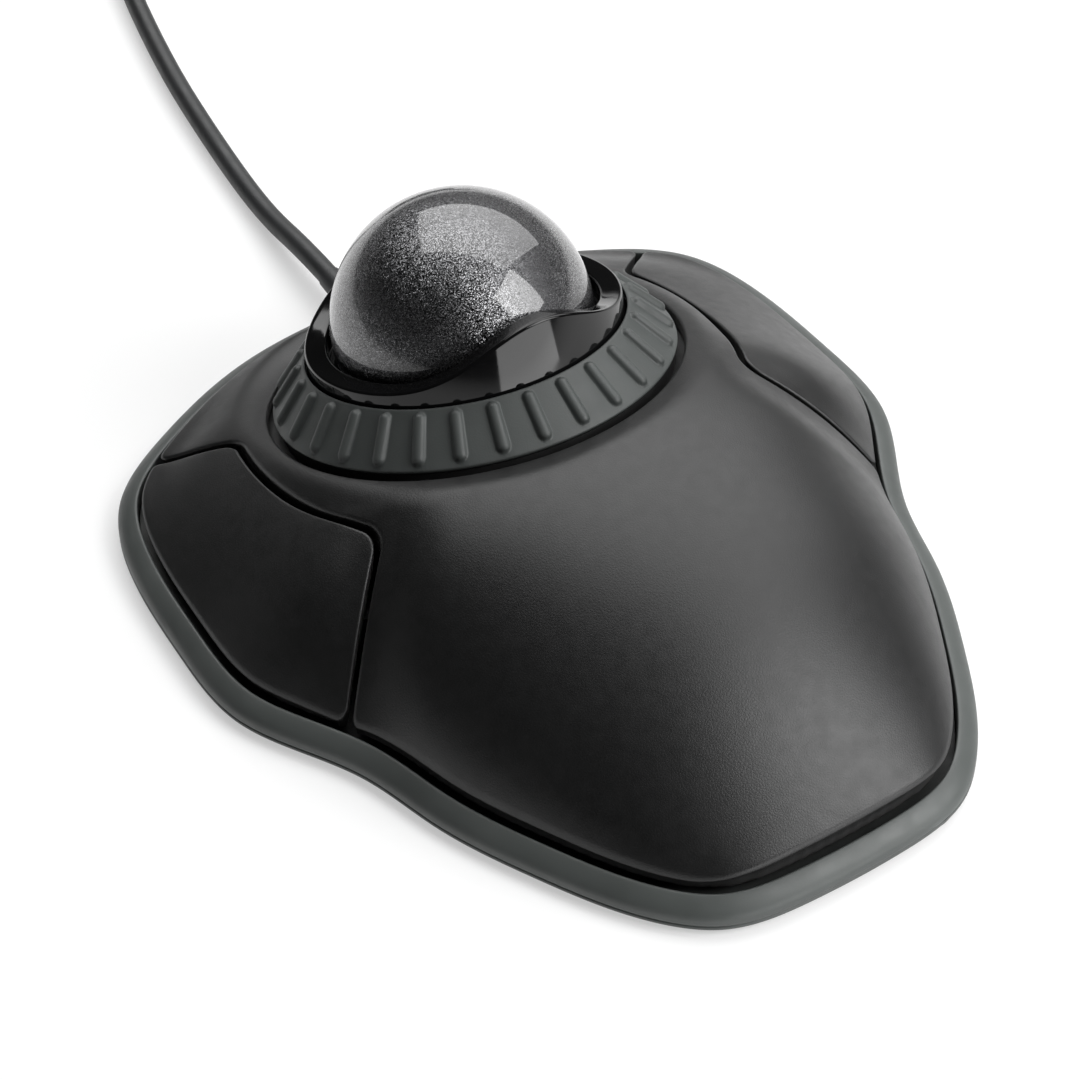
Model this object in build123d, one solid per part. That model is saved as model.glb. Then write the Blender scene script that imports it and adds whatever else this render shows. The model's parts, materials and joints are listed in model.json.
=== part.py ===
from build123d import *
import math
import os

os.makedirs("parts", exist_ok=True)

# Trackball mouse: a ball in a tilted scroll ring, two big buttons and a palm rest.
# Millimetres. X is across, +Y points at the screen, Z is up from the desk.
# The origin is on the desk, at the middle of the casing's width and length.

# ---------------------------------------------------------------- overall sizes
overall_width = 117.6
overall_length = 136.2
foot_height = 0.8
base_thickness = 1.6
base_ledge = 0.7
rim_top_z = 5.0
rim_top_inset = 2.7
rim_flat = 0.5
rim_lip = 0.8
shell_inset = 3.5
shell_edge_z = 6.2
shell_bottom_z = 5.3
grid_margin = 2.0
grid_x = 16
grid_y = 18
shell_wall = 2.0
skirt_inset = 4.7
skirt_wall = 1.6

# palm rest and wings
palm_height = 31.4
palm_crest_back = 35.4
palm_fall = 2.17
palm_rear_z = 8.1
palm_round = 2.14
palm_flank = 0.54
wing_round = 2.8
wing_slope = 0.372
wing_rise = 18.6
wing_rise_back = -3.06
trough_depth = 2.6
trough_width = 6.0
palm_blend = 12.0
lip_width = 6.0
crest_softness = 1.2
front_ramp = 0.9
front_ramp_rise = 1.4
front_curve = 0.0063
edge_share = 0.97
edge_depth = 0.35
width_rear_margin = 9.0
width_front_margin = 18.0

# base plate
ledge_inset = 0.5
upstand_gap = 0.1
wire_channel_half = 2.2
wire_channel_depth = 0.9

# ball, cup and ring; heights with a name in _h run along the ring's own axis
ball_radius = 20.0
ball_height = 26.8
ball_from_front = 34.5
ring_tilt = 20.4
cup_clearance = 0.8
cup_wall = 1.8
cup_rim_h = -3.4
cup_flange_h = -12.5
cup_flange_thickness = 1.2
cup_flange_radius = 26.4
collar_radius = 24.3
collar_bore_gap = 0.9
collar_sleeve_gap = 0.3
collar_lobe = 6.9
collar_lobe_power = 13
collar_back_lobe = 4.6
collar_back_power = 9
collar_core_share = 0.6
collar_grid = 21
collar_grid_margin = 1.7
collar_side_h = 0.1
ring_bore_gap = 0.4
ring_top_radius = 24.9
ring_top_h = -1.75
ring_edge_radius = 31.3
ring_edge_h = -8.77
sleeve_thickness = 1.2
rib_count = 30
rib_radius = 0.7
rib_sink = 0.2
rib_start = 0.08
rib_end = 0.94
rib_first_angle = -87.5
hole_gap = 1.2
hole_h = -9.37
carrier_flange_radius = 33.6
carrier_flange_h = -11.75
carrier_flange_thickness = 0.9
flange_lip_gap = 0.3
flange_side_gap = 0.5
comb_inner = 28.2
comb_outer = 29.0
comb_depth = 1.5
comb_teeth = 36
comb_slot = 2.2
running_gap = 0.2
comb_rim = 1.6
comb_slot_margin = 0.3
bearing_radius = 1.0
bearing_gap = 0.1
bearing_angle = 55.0
pocket_clearance = 0.03

# optical sensor, on its own axis from the ball centre
sensor_angle = 50.0
window_radius = 3.9
lens_radius = 3.5
lens_start = 21.8
lens_flange_radius = 5.2
lens_seat = 23.0
lens_flange_thickness = 1.2
chip_width = 9.0
chip_height = 7.0
chip_thickness = 2.2
sensor_board_width = 16.0
sensor_board_height = 14.0
board_thickness = 1.2
seat_radius = 6.0
arm_reach = 6.6
arm_radius = 1.2

# ring encoder, which reads the comb under the ring
encoder_h = -17.7
encoder_radius = 28.6
encoder_width = 6.0
encoder_arm = 1.0
encoder_arm_gap = 0.3
encoder_board_width = 9.0
encoder_board_length = 11.0
encoder_board_thickness = 1.0
encoder_stand_half = 3.5
encoder_stand_back = 1.5
encoder_stand_ahead = 4.5

# boards and switches
main_board_z = 5.0
main_board_thickness = 1.6
main_board_half_width = 22.0
main_board_front_gap = 24.6
main_board_rear_gap = 24.0
cross_bar_half_width = 43.0
cross_bar_inner_x = 24.0
cross_bar_length = 15.0
controller_half = 6.0
controller_rear_y = -12.0
controller_length = 10.0
controller_height = 1.6
resistor_count = 6
resistor_pitch = 3.2
resistor_length = 1.6
resistor_size = 0.8
resistor_first_x = -16.0
resistor_from_rear = 14.0
capacitor_x = (10.0, 16.0)
capacitor_from_rear = 22.0
capacitor_radius = 2.2
capacitor_height = 5.0
connector_half = 2.1
connector_length = 7.0
switch_x = 37.8
switch_back_of_ball = 27.0
switch_width = 5.8
switch_length = 12.8
switch_height = 6.5
switch_chamfer = 0.4
plunger_width = 1.2
plunger_length = 2.8
plunger_rise = 0.8
plunger_depth = 1.1
plunger_clearance = 0.1
press_travel = 0.8
tip_gap = 0.08
tip_radius = 1.4

# buttons
seam_gap = 1.0
button_hinge_x = 40.3
button_hinge_ahead = 9.4
button_hinge_z = 5.2
hinge_pin_radius = 0.8
hinge_clearance = 0.06
lug_radius = 1.5
lug_width = 3.6
ear_width = 2.0
ear_gap = 0.2
button_corner = 4.0
seam_inner_x = 31.7
seam_inner_back = 29.4
seam_length = 20.0
seam_angle = -44.9
seam_front_x = 35.2
seam_front_ahead = 7.8
seam_side_x = 36.9
seam_side_back = 8.6
seam_back_x = 31.6
seam_back_back = 28.6
seam_front_run = (30.0, 30.7)

# fasteners
screw_radius = 0.9
screw_bore_clearance = 0.05
screw_head_radius = 1.9
screw_head_height = 1.1
screw_head_clearance = 0.2
screw_slot_half = 1.2
screw_slot_half_width = 0.25
screw_slot_depth = 0.5
case_screw_grip = 6.0
cup_screw_grip = 4.0
screw_end_room = 1.0
boss_radius = 2.6
post_radius = 2.6
standoff_radius = 2.2
foot_radius = 5.0
foot_edge = 0.3
weld = 0.5

# cable and plug
cable_radius = 1.8
cable_exit_z = 4.2
relief_length = 6.5
relief_radius = 2.3
relief_end_radius = 2.0
relief_notch_clearance = 0.1
relief_inner_back = 6.6
relief_front_gap = 0.4
casing_notch_reach = 12.0
wire_radius = 0.3
wire_gap = 0.1
wire_row_gap = 0.02
wire_low_z = 2.0
coil_mean_radius = 20.4
coil_turn_pitch = 3.66
coil_turns = 10.18
coil_lift = 0.8
tie_width = 8.0
tie_thickness = 0.8
tie_angle = -50.0
plug_body_length = 21.0
plug_body_width = 15.6
plug_body_height = 8.2
plug_metal_length = 12.0
plug_metal_width = 12.0
plug_metal_height = 4.5
plug_metal_wall = 0.35
plug_corner = 2.5
plug_tongue_thickness = 1.9
plug_tongue_recess = 0.6
plug_window = 2.4
plug_window_pitch = 4.6
plug_window_from_end = 6.0

# ---------------------------------------------------------------- worked-out places
half_width = overall_width / 2
half_length = overall_length / 2
base_top = foot_height + base_thickness
ball_y = half_length - ball_from_front
tilt = math.radians(ring_tilt)
ball_centre = Vector(0, ball_y, ball_height)
ring_axis = Vector(0, math.sin(tilt), math.cos(tilt))
ring_plane = Plane(origin=ball_centre, x_dir=(1, 0, 0), z_dir=ring_axis)
hole_radius = ring_edge_radius + hole_gap
flange_room = carrier_flange_radius + flange_side_gap
cup_inner = ball_radius + cup_clearance
cup_outer = cup_inner + cup_wall
sensor_tilt = math.radians(sensor_angle)
sensor_axis = Vector(0, -math.sin(sensor_tilt), -math.cos(sensor_tilt))
sensor_plane = Plane(origin=ball_centre, x_dir=(1, 0, 0), z_dir=sensor_axis)
hinge_y = ball_y + button_hinge_ahead
switch_y = ball_y - switch_back_of_ball
board_top = main_board_z + main_board_thickness
base_ledge_z = foot_height + base_ledge
head_seat_z = foot_height + screw_head_height
upstand_inset = rim_top_inset + rim_flat + upstand_gap
board_seat = lens_seat + lens_flange_thickness + chip_thickness
seam_heading = math.radians(seam_angle)
relief_inner_y = half_length - relief_inner_back
relief_front_y = half_length + relief_front_gap
relief_tip_y = relief_front_y + relief_length
notch_radius = relief_radius + relief_notch_clearance
screw_bore = screw_radius + screw_bore_clearance
main_board_front = ball_y - main_board_front_gap
main_board_rear = -half_length + main_board_rear_gap

# fasteners and feet, one of each pair: (x, y)
case_bosses = [(20.0, -half_length + 21.0), (28.0, ball_y + 18.5)]
post_places = [(16.0, ball_y - 19.6), (16.0, ball_y + 10.4)]
standoff_places = [(18.0, main_board_rear + 5), (28.0, switch_y)]
foot_places = [(0, -half_length + 12.0), (36.0, -16.0), (45.0, ball_y - 1.0), (30.0, half_length - 16.0)]

# the right half of the outline, front to rear, as shares of half the width and length
outline_shares = [
    (0, 1), (0.374, 0.969), (0.679, 0.860), (0.890, 0.722), (0.975, 0.523),
    (1, 0.264), (0.983, 0.038), (0.900, -0.106), (0.818, -0.235), (0.752, -0.420),
    (0.633, -0.649), (0.475, -0.866), (0.348, -0.959), (0.136, -0.996),
]


def outline_edge():
    right = [(sx * half_width, sy * half_length) for sx, sy in outline_shares]
    left = [(-x, y) for x, y in reversed(right[1:])]
    return Spline(*reversed(left), *reversed(right), periodic=True)


outline = outline_edge()
plan_spans = 8
plan_span_points = 6


def inset_wire(inset, z):
    """The outline moved in by inset, as eight spline spans that meet tangentially."""
    count = plan_spans * plan_span_points
    places, ways = [], []
    for i in range(count + 1):
        share = (i % count) / count
        along = outline.tangent_at(share)
        place = outline.position_at(share) + Vector(-along.Y, along.X) * inset
        places.append(Vector(place.X, place.Y, z))
        ways.append(along)
    spans = []
    for first in range(0, count, plan_span_points):
        last = first + plan_span_points
        spans.append(Spline(*places[first:last + 1], tangents=[ways[first], ways[last]]))
    return spans


def plan(inset, z=0.0):
    """The outline moved in by inset, as a face at height z."""
    return make_face(inset_wire(inset, z))


def plan_prism(inset, z0, z1):
    return extrude(plan(inset, z0), amount=z1 - z0, dir=(0, 0, 1))


def loft_plan(inset0, z0, inset1, z1):
    return loft([plan(inset0, z0), plan(inset1, z1)], ruled=True)


def half_widths(inset):
    """Right half of the inset outline as (y, x), front to rear, for lookups."""
    pairs = []
    for i in range(400):
        along = outline.tangent_at(i / 400)
        place = outline.position_at(i / 400) + Vector(-along.Y, along.X) * inset
        if place.X > 0:
            pairs.append((place.Y, place.X))
    return sorted(pairs)


shell_widths = half_widths(shell_inset)
width_rear_y = -half_length + width_rear_margin
width_front_y = half_length - width_front_margin


def lookup_width(y):
    for (y0, x0), (y1, x1) in zip(shell_widths, shell_widths[1:]):
        if y0 <= y <= y1:
            return x0 + (x1 - x0) * (y - y0) / (y1 - y0)
    return shell_widths[0][1]


def shell_half_width(y):
    """Half width of the shell; past the corners it carries on in a straight line."""
    if y < width_rear_y:
        slope = (lookup_width(width_rear_y + 2) - lookup_width(width_rear_y)) / 2
        return lookup_width(width_rear_y) + slope * (y - width_rear_y)
    if y > width_front_y:
        slope = (lookup_width(width_front_y) - lookup_width(width_front_y - 2)) / 2
        return lookup_width(width_front_y) + slope * (y - width_front_y)
    return lookup_width(y)


def smooth_step(t):
    t = min(max(t, 0.0), 1.0)
    return t * t * (3 - 2 * t)


def soft_min(values, softness):
    low = min(values)
    return low - softness * math.log(sum(math.exp(-(v - low) / softness) for v in values))


# ---------------------------------------------------------------- the casing's top surface
def crown(x, y):
    """Height of the casing along its spine."""
    back = ball_y - y
    ring_line = wing_rise + wing_slope * (back - wing_rise_back)
    fall_length = ball_y + half_length - shell_inset - palm_crest_back
    fallen = max((back - palm_crest_back) / fall_length, 0.0)
    palm_line = palm_height - (palm_height - palm_rear_z) * fallen ** palm_fall
    front = half_length - shell_inset - front_curve * x * x
    ramp = shell_edge_z + front_ramp_rise + front_ramp * (front - y)
    return soft_min([ring_line, palm_line, ramp], crest_softness)


def seam_place(x, y):
    """Distance behind the line of the button's back seam, and distance along it."""
    dx = abs(x) - seam_inner_x
    dy = y - (ball_y - seam_inner_back)
    along = dx * math.cos(seam_heading) + dy * math.sin(seam_heading)
    behind = dx * math.sin(seam_heading) - dy * math.cos(seam_heading)
    return behind, along


def flank(share, roundness, flatness):
    """From 1 on the spine to 0 at the edge, and levelling out below 0 beyond it."""
    at_edge = (1 - edge_share ** roundness) ** flatness

    def inside(s):
        return ((1 - (edge_share * s) ** roundness) ** flatness - at_edge) / (1 - at_edge)

    if share <= 1:
        return inside(share)
    beyond = (share - 1) * (inside(1.0) - inside(0.98)) / 0.02
    return -edge_depth * (1 - math.exp(beyond / edge_depth))


def casing_height(x, y):
    behind, along = seam_place(x, y)
    palm = smooth_step(behind / palm_blend)
    roundness = wing_round + (palm_round - wing_round) * palm
    flatness = 1 + (palm_flank - 1) * palm
    share = abs(x) / shell_half_width(y)
    z = shell_edge_z + (crown(x, y) - shell_edge_z) * flank(share, roundness, flatness)
    reach = max(1 - ((along - 0.45 * seam_length) / (0.65 * seam_length)) ** 2, 0.0)
    z -= trough_depth * reach * math.exp(-(behind / trough_width) ** 2)
    return ring_lip(x, y, z)


def ring_lip(x, y, z):
    """Blend into the flat of the ring's hole."""
    rim = ball_height + (hole_h - ring_axis.Y * (y - ball_y)) / ring_axis.Z
    offset = Vector(x, y, rim) - ball_centre
    radius = (offset - ring_axis * hole_h).length
    return rim + (z - rim) * smooth_step((radius - hole_radius) / lip_width)


def surface_face(height):
    """A smooth face through height(x, y) on an even grid."""
    reach_x = half_width + grid_margin
    reach_y = half_length + grid_margin
    rows = []
    for i in range(grid_x):
        x = -reach_x + 2 * reach_x * i / (grid_x - 1)
        steps = [-reach_y + 2 * reach_y * j / (grid_y - 1) for j in range(grid_y)]
        rows.append([Vector(x, y, height(x, y)) for y in steps])
    return Face.make_surface_from_array_of_points(rows, tol=0.2)


def inner_height(x, y):
    """The casing's inside: one wall thickness in from its top, square to the slope."""
    step = 0.5
    slope_x = (casing_height(x + step, y) - casing_height(x - step, y)) / (2 * step)
    slope_y = (casing_height(x, y + step) - casing_height(x, y - step)) / (2 * step)
    return casing_height(x, y) - shell_wall * math.sqrt(1 + slope_x ** 2 + slope_y ** 2)


def below(face):
    return extrude(face, amount=80, dir=(0, 0, -1))


under_top = below(surface_face(casing_height))
under_wall = below(surface_face(inner_height))
casing_full = plan_prism(shell_inset, shell_bottom_z, 50) & under_top
casing_hollow = plan_prism(shell_inset + shell_wall, -5, 50) & under_wall
casing_skin = casing_full - casing_hollow


# ---------------------------------------------------------------- helpers
def both_sides(shape):
    return shape, mirror(shape, about=Plane.YZ)


def save(shape, name):
    shape.label = name
    export_step(shape, "parts/" + name + ".step")


def group(solids):
    return Compound(children=list(solids))


def rod(x, y, z0, z1, radius):
    return Pos(x, y, (z0 + z1) / 2) * Cylinder(radius, z1 - z0)


def block(x0, x1, y0, y1, z0, z1):
    centre = Pos((x0 + x1) / 2, (y0 + y1) / 2, (z0 + z1) / 2)
    return centre * Box(x1 - x0, y1 - y0, z1 - z0)


def cross_rod(x, y, z, radius, length):
    """A rod along X."""
    return Location((x, y, z), (0, 90, 0)) * Cylinder(radius, length)


def long_rod(x, y0, y1, z, radius):
    """A rod along Y."""
    return Location((x, (y0 + y1) / 2, z), (90, 0, 0)) * Cylinder(radius, y1 - y0)


def ringed(profile):
    """A profile of (radius, height) points turned round the ring's axis."""
    face = make_face(Plane.XZ * Polyline(*profile, close=True))
    return ring_plane.location * revolve(face, axis=Axis.Z, revolution_arc=360)


def ring_place(radius, angle, height):
    """A point given round the ring's axis; angle 0 is to the right, -90 at the user."""
    turn = math.radians(angle)
    local = Vector(radius * math.cos(turn), radius * math.sin(turn), height)
    return ring_plane.from_local_coords(local)


# ---------------------------------------------------------------- casing
def button_region(grow):
    """The right button's area in plan, widened on its seam sides by grow."""
    front_in = (seam_front_x, ball_y + seam_front_ahead)
    side_mid = (seam_side_x, ball_y - seam_side_back)
    back_in = (seam_back_x, ball_y - seam_back_back)
    run = half_width / 2
    back_out = (back_in[0] + run * math.cos(seam_heading), back_in[1] + run * math.sin(seam_heading))
    front_out = (front_in[0] + seam_front_run[0], front_in[1] + seam_front_run[1])
    far = 1.5 * half_width
    edges = [
        Line(front_out, front_in),
        ThreePointArc(front_in, side_mid, back_in),
        Line(back_in, back_out),
        Line(back_out, (far, back_out[1])),
        Line((far, back_out[1]), (far, front_out[1])),
        Line((far, front_out[1]), front_out),
    ]
    face = make_face(edges)
    inner = face.vertices().sort_by(Axis.X)[:2]
    face = fillet(inner, button_corner)
    return offset(face, amount=grow, kind=Kind.INTERSECTION)


def region_prism(grow):
    return extrude(button_region(grow), amount=60, dir=(0, 0, 1))


def make_button():
    plate = casing_skin & region_prism(-seam_gap / 2)
    half_lug = lug_width / 2
    lug = cross_rod(button_hinge_x, hinge_y, button_hinge_z, lug_radius, lug_width)
    lug = lug + block(button_hinge_x - half_lug, button_hinge_x + half_lug,
                      hinge_y - lug_radius, hinge_y + lug_radius, button_hinge_z, 30)
    lug = lug & casing_full_low
    tip_z = board_top + switch_height + plunger_rise + tip_gap
    tip = rod(switch_x, switch_y, tip_z, 40, tip_radius) & casing_full_low
    bore_radius = hinge_pin_radius + hinge_clearance
    bore = cross_rod(button_hinge_x, hinge_y, button_hinge_z, bore_radius, lug_width + 2)
    return plate + lug + tip - bore


def make_hinge_pin():
    length = lug_width + 2 * ear_gap + 2 * ear_width
    return cross_rod(button_hinge_x, hinge_y, button_hinge_z, hinge_pin_radius, length)


def cable_notch(z0, z1):
    """Room for the strain relief: a round bore, open between heights z0 and z1."""
    start, end = half_length - casing_notch_reach, half_length + 2
    notch = long_rod(0, start, end, cable_exit_z, notch_radius)
    return notch + block(-notch_radius, notch_radius, start, end, z0, z1)


casing_full_low = plan_prism(shell_inset, base_top, 50) & under_top


def make_upper_shell():
    shell = casing_skin
    skirt = plan_prism(skirt_inset, base_top, 50) - plan_prism(skirt_inset + skirt_wall, 0, 60)
    skirt = skirt & under_top
    skirt = skirt & block(-90, 90, -90, 90, 0, shell_bottom_z + 1.5)
    shell = shell + skirt
    for x, y in case_bosses:
        for boss in both_sides(rod(x, y, base_top, 40, boss_radius) & under_top):
            shell = shell + boss
    shell = shell - (ring_plane.location * Pos(0, 0, 26) * Cylinder(hole_radius, 80))
    under_lip = carrier_flange_h + flange_lip_gap
    shell = shell - (ring_plane.location * Pos(0, 0, under_lip - 10) * Cylinder(flange_room, 20))
    for opening in both_sides(region_prism(seam_gap / 2)):
        shell = shell - opening
    for x, y in case_bosses:
        end = base_top + case_screw_grip + screw_end_room
        for bore in both_sides(rod(x, y, base_top - 1, end, screw_bore)):
            shell = shell - bore
    return shell - cable_notch(0, cable_exit_z)


def make_rim():
    body = loft_plan(0, base_ledge_z + rim_lip, rim_top_inset, rim_top_z)
    body = body + plan_prism(0, base_ledge_z, base_ledge_z + rim_lip)
    body = body - plan_prism(rim_top_inset + rim_flat, -1, 20)
    return body - cable_notch(cable_exit_z, 20)


def make_base():
    base = plan_prism(ledge_inset, foot_height, base_ledge_z)
    base = base + plan_prism(upstand_inset, base_ledge_z, base_top)
    ear_inner = button_hinge_x - lug_width / 2 - ear_gap - ear_width
    ear_outer = button_hinge_x + lug_width / 2 + ear_gap
    for x0 in (ear_inner, ear_outer):
        middle = x0 + ear_width / 2
        ear = cross_rod(middle, hinge_y, button_hinge_z, lug_radius, ear_width)
        ear = ear + block(x0, x0 + ear_width, hinge_y - lug_radius, hinge_y + lug_radius,
                          base_top - weld, button_hinge_z)
        for one in both_sides(ear):
            base = base + one
    for x, y in standoff_places:
        for one in both_sides(rod(x, y, base_top - weld, main_board_z, standoff_radius)):
            base = base + one
    floor = ring_plane.location * Pos(0, 0, 30 + encoder_h - encoder_board_thickness)
    foot = ring_place(encoder_radius, 180, encoder_h)
    stand = block(foot.X - encoder_stand_half, foot.X + encoder_stand_half,
                  foot.Y - encoder_stand_back, foot.Y + encoder_stand_ahead, base_top - weld, 30)
    base = base + (stand - floor * Cylinder(90, 60))
    channel_start = main_board_front - connector_length - upstand_gap
    channel = block(-wire_channel_half, wire_channel_half, channel_start, relief_inner_y + 2,
                    base_top - wire_channel_depth, base_top + 1)
    base = base - channel
    pin_holes = cross_rod(button_hinge_x, hinge_y, button_hinge_z, hinge_pin_radius, 12)
    for hole in both_sides(pin_holes):
        base = base - hole
    head_room = screw_head_radius + screw_head_clearance
    for x, y in case_bosses + post_places:
        hole = rod(x, y, 0, base_top + 1, screw_bore) + rod(x, y, 0, head_seat_z, head_room)
        for one in both_sides(hole):
            base = base - one
    for x, y in standoff_places:
        for hole in both_sides(rod(x, y, base_top - 0.2, main_board_z + 1, screw_bore)):
            base = base - hole
    relief_seat_y = relief_inner_y - relief_notch_clearance
    notch = long_rod(0, relief_seat_y, half_length + 2, cable_exit_z, notch_radius)
    return base - notch


slot_halves = ((screw_slot_half, screw_slot_half_width), (screw_slot_half_width, screw_slot_half))


def make_screw(x, y, tip_z):
    """A screw driven up from below, its head let into the base."""
    head = rod(x, y, head_seat_z - screw_head_height, head_seat_z, screw_head_radius)
    slot_z = foot_height + screw_slot_depth
    for half_x, half_y in slot_halves:
        head = head - block(x - half_x, x + half_x, y - half_y, y + half_y, 0, slot_z)
    return head + rod(x, y, head_seat_z - 0.2, tip_z, screw_radius)


def make_board_screw(x, y):
    """A screw driven down through the main board."""
    head = rod(x, y, board_top, board_top + screw_head_height, screw_head_radius)
    top = board_top + screw_head_height
    for half_x, half_y in slot_halves:
        head = head - block(x - half_x, x + half_x, y - half_y, y + half_y, top - screw_slot_depth, top + 1)
    return head + rod(x, y, base_top, board_top + 0.2, screw_radius)


def make_feet():
    feet = []
    for x, y in foot_places:
        pad = rod(x, y, 0, foot_height, foot_radius)
        pad = fillet(pad.edges().group_by(Axis.Z)[0], foot_edge)
        feet += [pad] if x == 0 else list(both_sides(pad))
    return group(feet)


# ---------------------------------------------------------------- ball, cup and collar
def sphere_at_ball(radius):
    return Pos(*ball_centre) * Sphere(radius)


def above_h(height):
    return ring_plane.location * Pos(0, 0, height + 60) * Cylinder(120, 120)


def sensor_rod(x, y, start, end, radius):
    return sensor_plane.location * Pos(x, y, (start + end) / 2) * Cylinder(radius, end - start)


def bearing_centres():
    reach = ball_radius + bearing_gap + bearing_radius
    steep = math.radians(bearing_angle)
    return [
        ring_place(reach * math.sin(steep), angle, -reach * math.cos(steep))
        for angle in (90, -30, -150)
    ]


def make_cup():
    cup = sphere_at_ball(cup_outer) - above_h(cup_rim_h)
    flange = ringed([(0, cup_flange_h - cup_flange_thickness),
                     (cup_flange_radius, cup_flange_h - cup_flange_thickness),
                     (cup_flange_radius, cup_flange_h), (0, cup_flange_h)])
    cup = cup + flange
    for x, y in post_places:
        for post in both_sides(rod(x, y, base_top, 60, post_radius)):
            cup = cup + (post - above_h(cup_flange_h - cup_flange_thickness / 2))
    cup = cup + sensor_rod(0, 0, cup_inner, lens_seat, seat_radius)
    for side in (-arm_reach, arm_reach):
        cup = cup + sensor_rod(side, 0, cup_inner, board_seat, arm_radius)
    cup = cup - sphere_at_ball(cup_inner)
    cup = cup - sensor_rod(0, 0, ball_radius - 4, board_seat, window_radius)
    for centre in bearing_centres():
        cup = cup - Pos(*centre) * Sphere(bearing_radius + pocket_clearance)
    end = base_top + cup_screw_grip + screw_end_room / 5
    for x, y in post_places:
        for hole in both_sides(rod(x, y, base_top - 1, end, screw_bore)):
            cup = cup - hole
    return cup


def make_bearings():
    return group([Pos(*centre) * Sphere(bearing_radius) for centre in bearing_centres()])


def make_lens():
    lens = sensor_rod(0, 0, lens_start, lens_seat, lens_radius)
    return lens + sensor_rod(0, 0, lens_seat, lens_seat + lens_flange_thickness, lens_flange_radius)


def sensor_block(width, height, start, end):
    return sensor_plane.location * Pos(0, 0, (start + end) / 2) * Box(width, height, end - start)


def collar_top(x, y):
    """Height of the collar's top, in the ring's frame; the user is towards -y."""
    facing = -y / max(math.hypot(x, y), collar_core_share * ball_radius)
    lobe = collar_lobe * ((1 + facing) / 2) ** collar_lobe_power
    back = collar_back_lobe * ((1 - facing) / 2) ** collar_back_power
    return collar_side_h + lobe + back


def make_collar():
    bore = ball_radius + collar_bore_gap
    sleeve = cup_outer + collar_sleeve_gap
    body = ringed([(bore, cup_rim_h), (sleeve, cup_rim_h), (sleeve, cup_flange_h),
                   (collar_radius, cup_flange_h), (collar_radius, 20), (bore, 20)])
    reach = collar_radius + collar_grid_margin
    steps = [-reach + 2 * reach * i / (collar_grid - 1) for i in range(collar_grid)]
    rows = [[Vector(x, y, collar_top(x, y)) for y in steps] for x in steps]
    top = Face.make_surface_from_array_of_points(rows, tol=0.05)
    return body - ring_plane.location * extrude(top, amount=60, dir=(0, 0, 1))


# ---------------------------------------------------------------- scroll ring
slant = Vector(ring_top_radius - ring_edge_radius, 0, ring_top_h - ring_edge_h)
slant_length = slant.length
slant_way = slant.normalized()
inward_way = Vector(-slant_way.Z, 0, slant_way.X)
ring_bore = collar_radius + ring_bore_gap
sleeve_low = Vector(ring_edge_radius, 0, ring_edge_h) + inward_way * sleeve_thickness
sleeve_high_run = (ring_top_radius - sleeve_low.X) / slant_way.X
sleeve_high_h = sleeve_low.Z + sleeve_high_run * slant_way.Z


def make_rib():
    """One rib at angle 0, a round-ended bar lying along the cone."""
    base = Vector(ring_edge_radius, 0, ring_edge_h) + inward_way * rib_sink
    start = base + slant_way * (rib_start * slant_length + rib_radius)
    end = base + slant_way * (rib_end * slant_length - rib_radius)
    middle = (start + end) / 2
    bar = Plane(origin=middle, z_dir=slant_way).location * Cylinder(rib_radius, (end - start).length)
    return bar + Pos(*start) * Sphere(rib_radius) + Pos(*end) * Sphere(rib_radius)


def make_ring_sleeve():
    sleeve = make_face(Plane.XZ * Polyline(
        (ring_edge_radius, ring_edge_h), (ring_top_radius, ring_top_h),
        (ring_top_radius, sleeve_high_h), (sleeve_low.X, sleeve_low.Z), close=True))
    sleeve = revolve(sleeve, axis=Axis.Z, revolution_arc=360)
    rib = make_rib()
    turns = [Rot(0, 0, rib_first_angle + 360 * i / rib_count) * rib for i in range(rib_count)]
    return ring_plane.location * (sleeve + turns)


def make_ring_carrier():
    flange_low = carrier_flange_h - carrier_flange_thickness
    comb_low = flange_low - comb_depth
    hub_outer = ring_bore + comb_rim
    body = ringed([
        (ring_bore, sleeve_high_h), (ring_top_radius, sleeve_high_h), (sleeve_low.X, sleeve_low.Z),
        (sleeve_low.X, carrier_flange_h), (carrier_flange_radius, carrier_flange_h),
        (carrier_flange_radius, flange_low), (comb_outer, flange_low), (comb_outer, comb_low),
        (comb_inner, comb_low), (comb_inner, flange_low + comb_rim), (hub_outer, flange_low + comb_rim),
        (hub_outer, cup_flange_h + running_gap), (ring_bore, cup_flange_h + running_gap)])
    slot_height = 2 * (comb_depth - comb_slot_margin)
    slot = Pos((comb_inner + comb_outer) / 2, 0, comb_low) * Box(3, comb_slot, slot_height)
    for i in range(comb_teeth):
        body = body - ring_plane.location * Rot(0, 0, 360 * i / comb_teeth) * slot
    return body


def make_encoder():
    """A photo interrupter: two arms either side of the comb."""
    inner = comb_inner - encoder_arm_gap
    outer = comb_outer + encoder_arm_gap
    top = carrier_flange_h - carrier_flange_thickness - encoder_arm_gap
    place = ring_plane.location * Rot(0, 0, 180)
    length = outer - inner + 2 * encoder_arm
    middle = (inner + outer) / 2
    floor_h = top - comb_depth - encoder_arm_gap
    body = Pos(middle, 0, (top + encoder_h) / 2) * Box(length, encoder_width, top - encoder_h)
    body = body - Pos(middle, 0, floor_h + 5) * Box(outer - inner, encoder_width + 2, 10)
    return place * body


def make_encoder_board():
    place = ring_plane.location * Rot(0, 0, 180)
    centre_h = encoder_h - encoder_board_thickness / 2
    board = Box(encoder_board_width, encoder_board_length, encoder_board_thickness)
    return place * Pos(encoder_radius, 0, centre_h) * board


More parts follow.
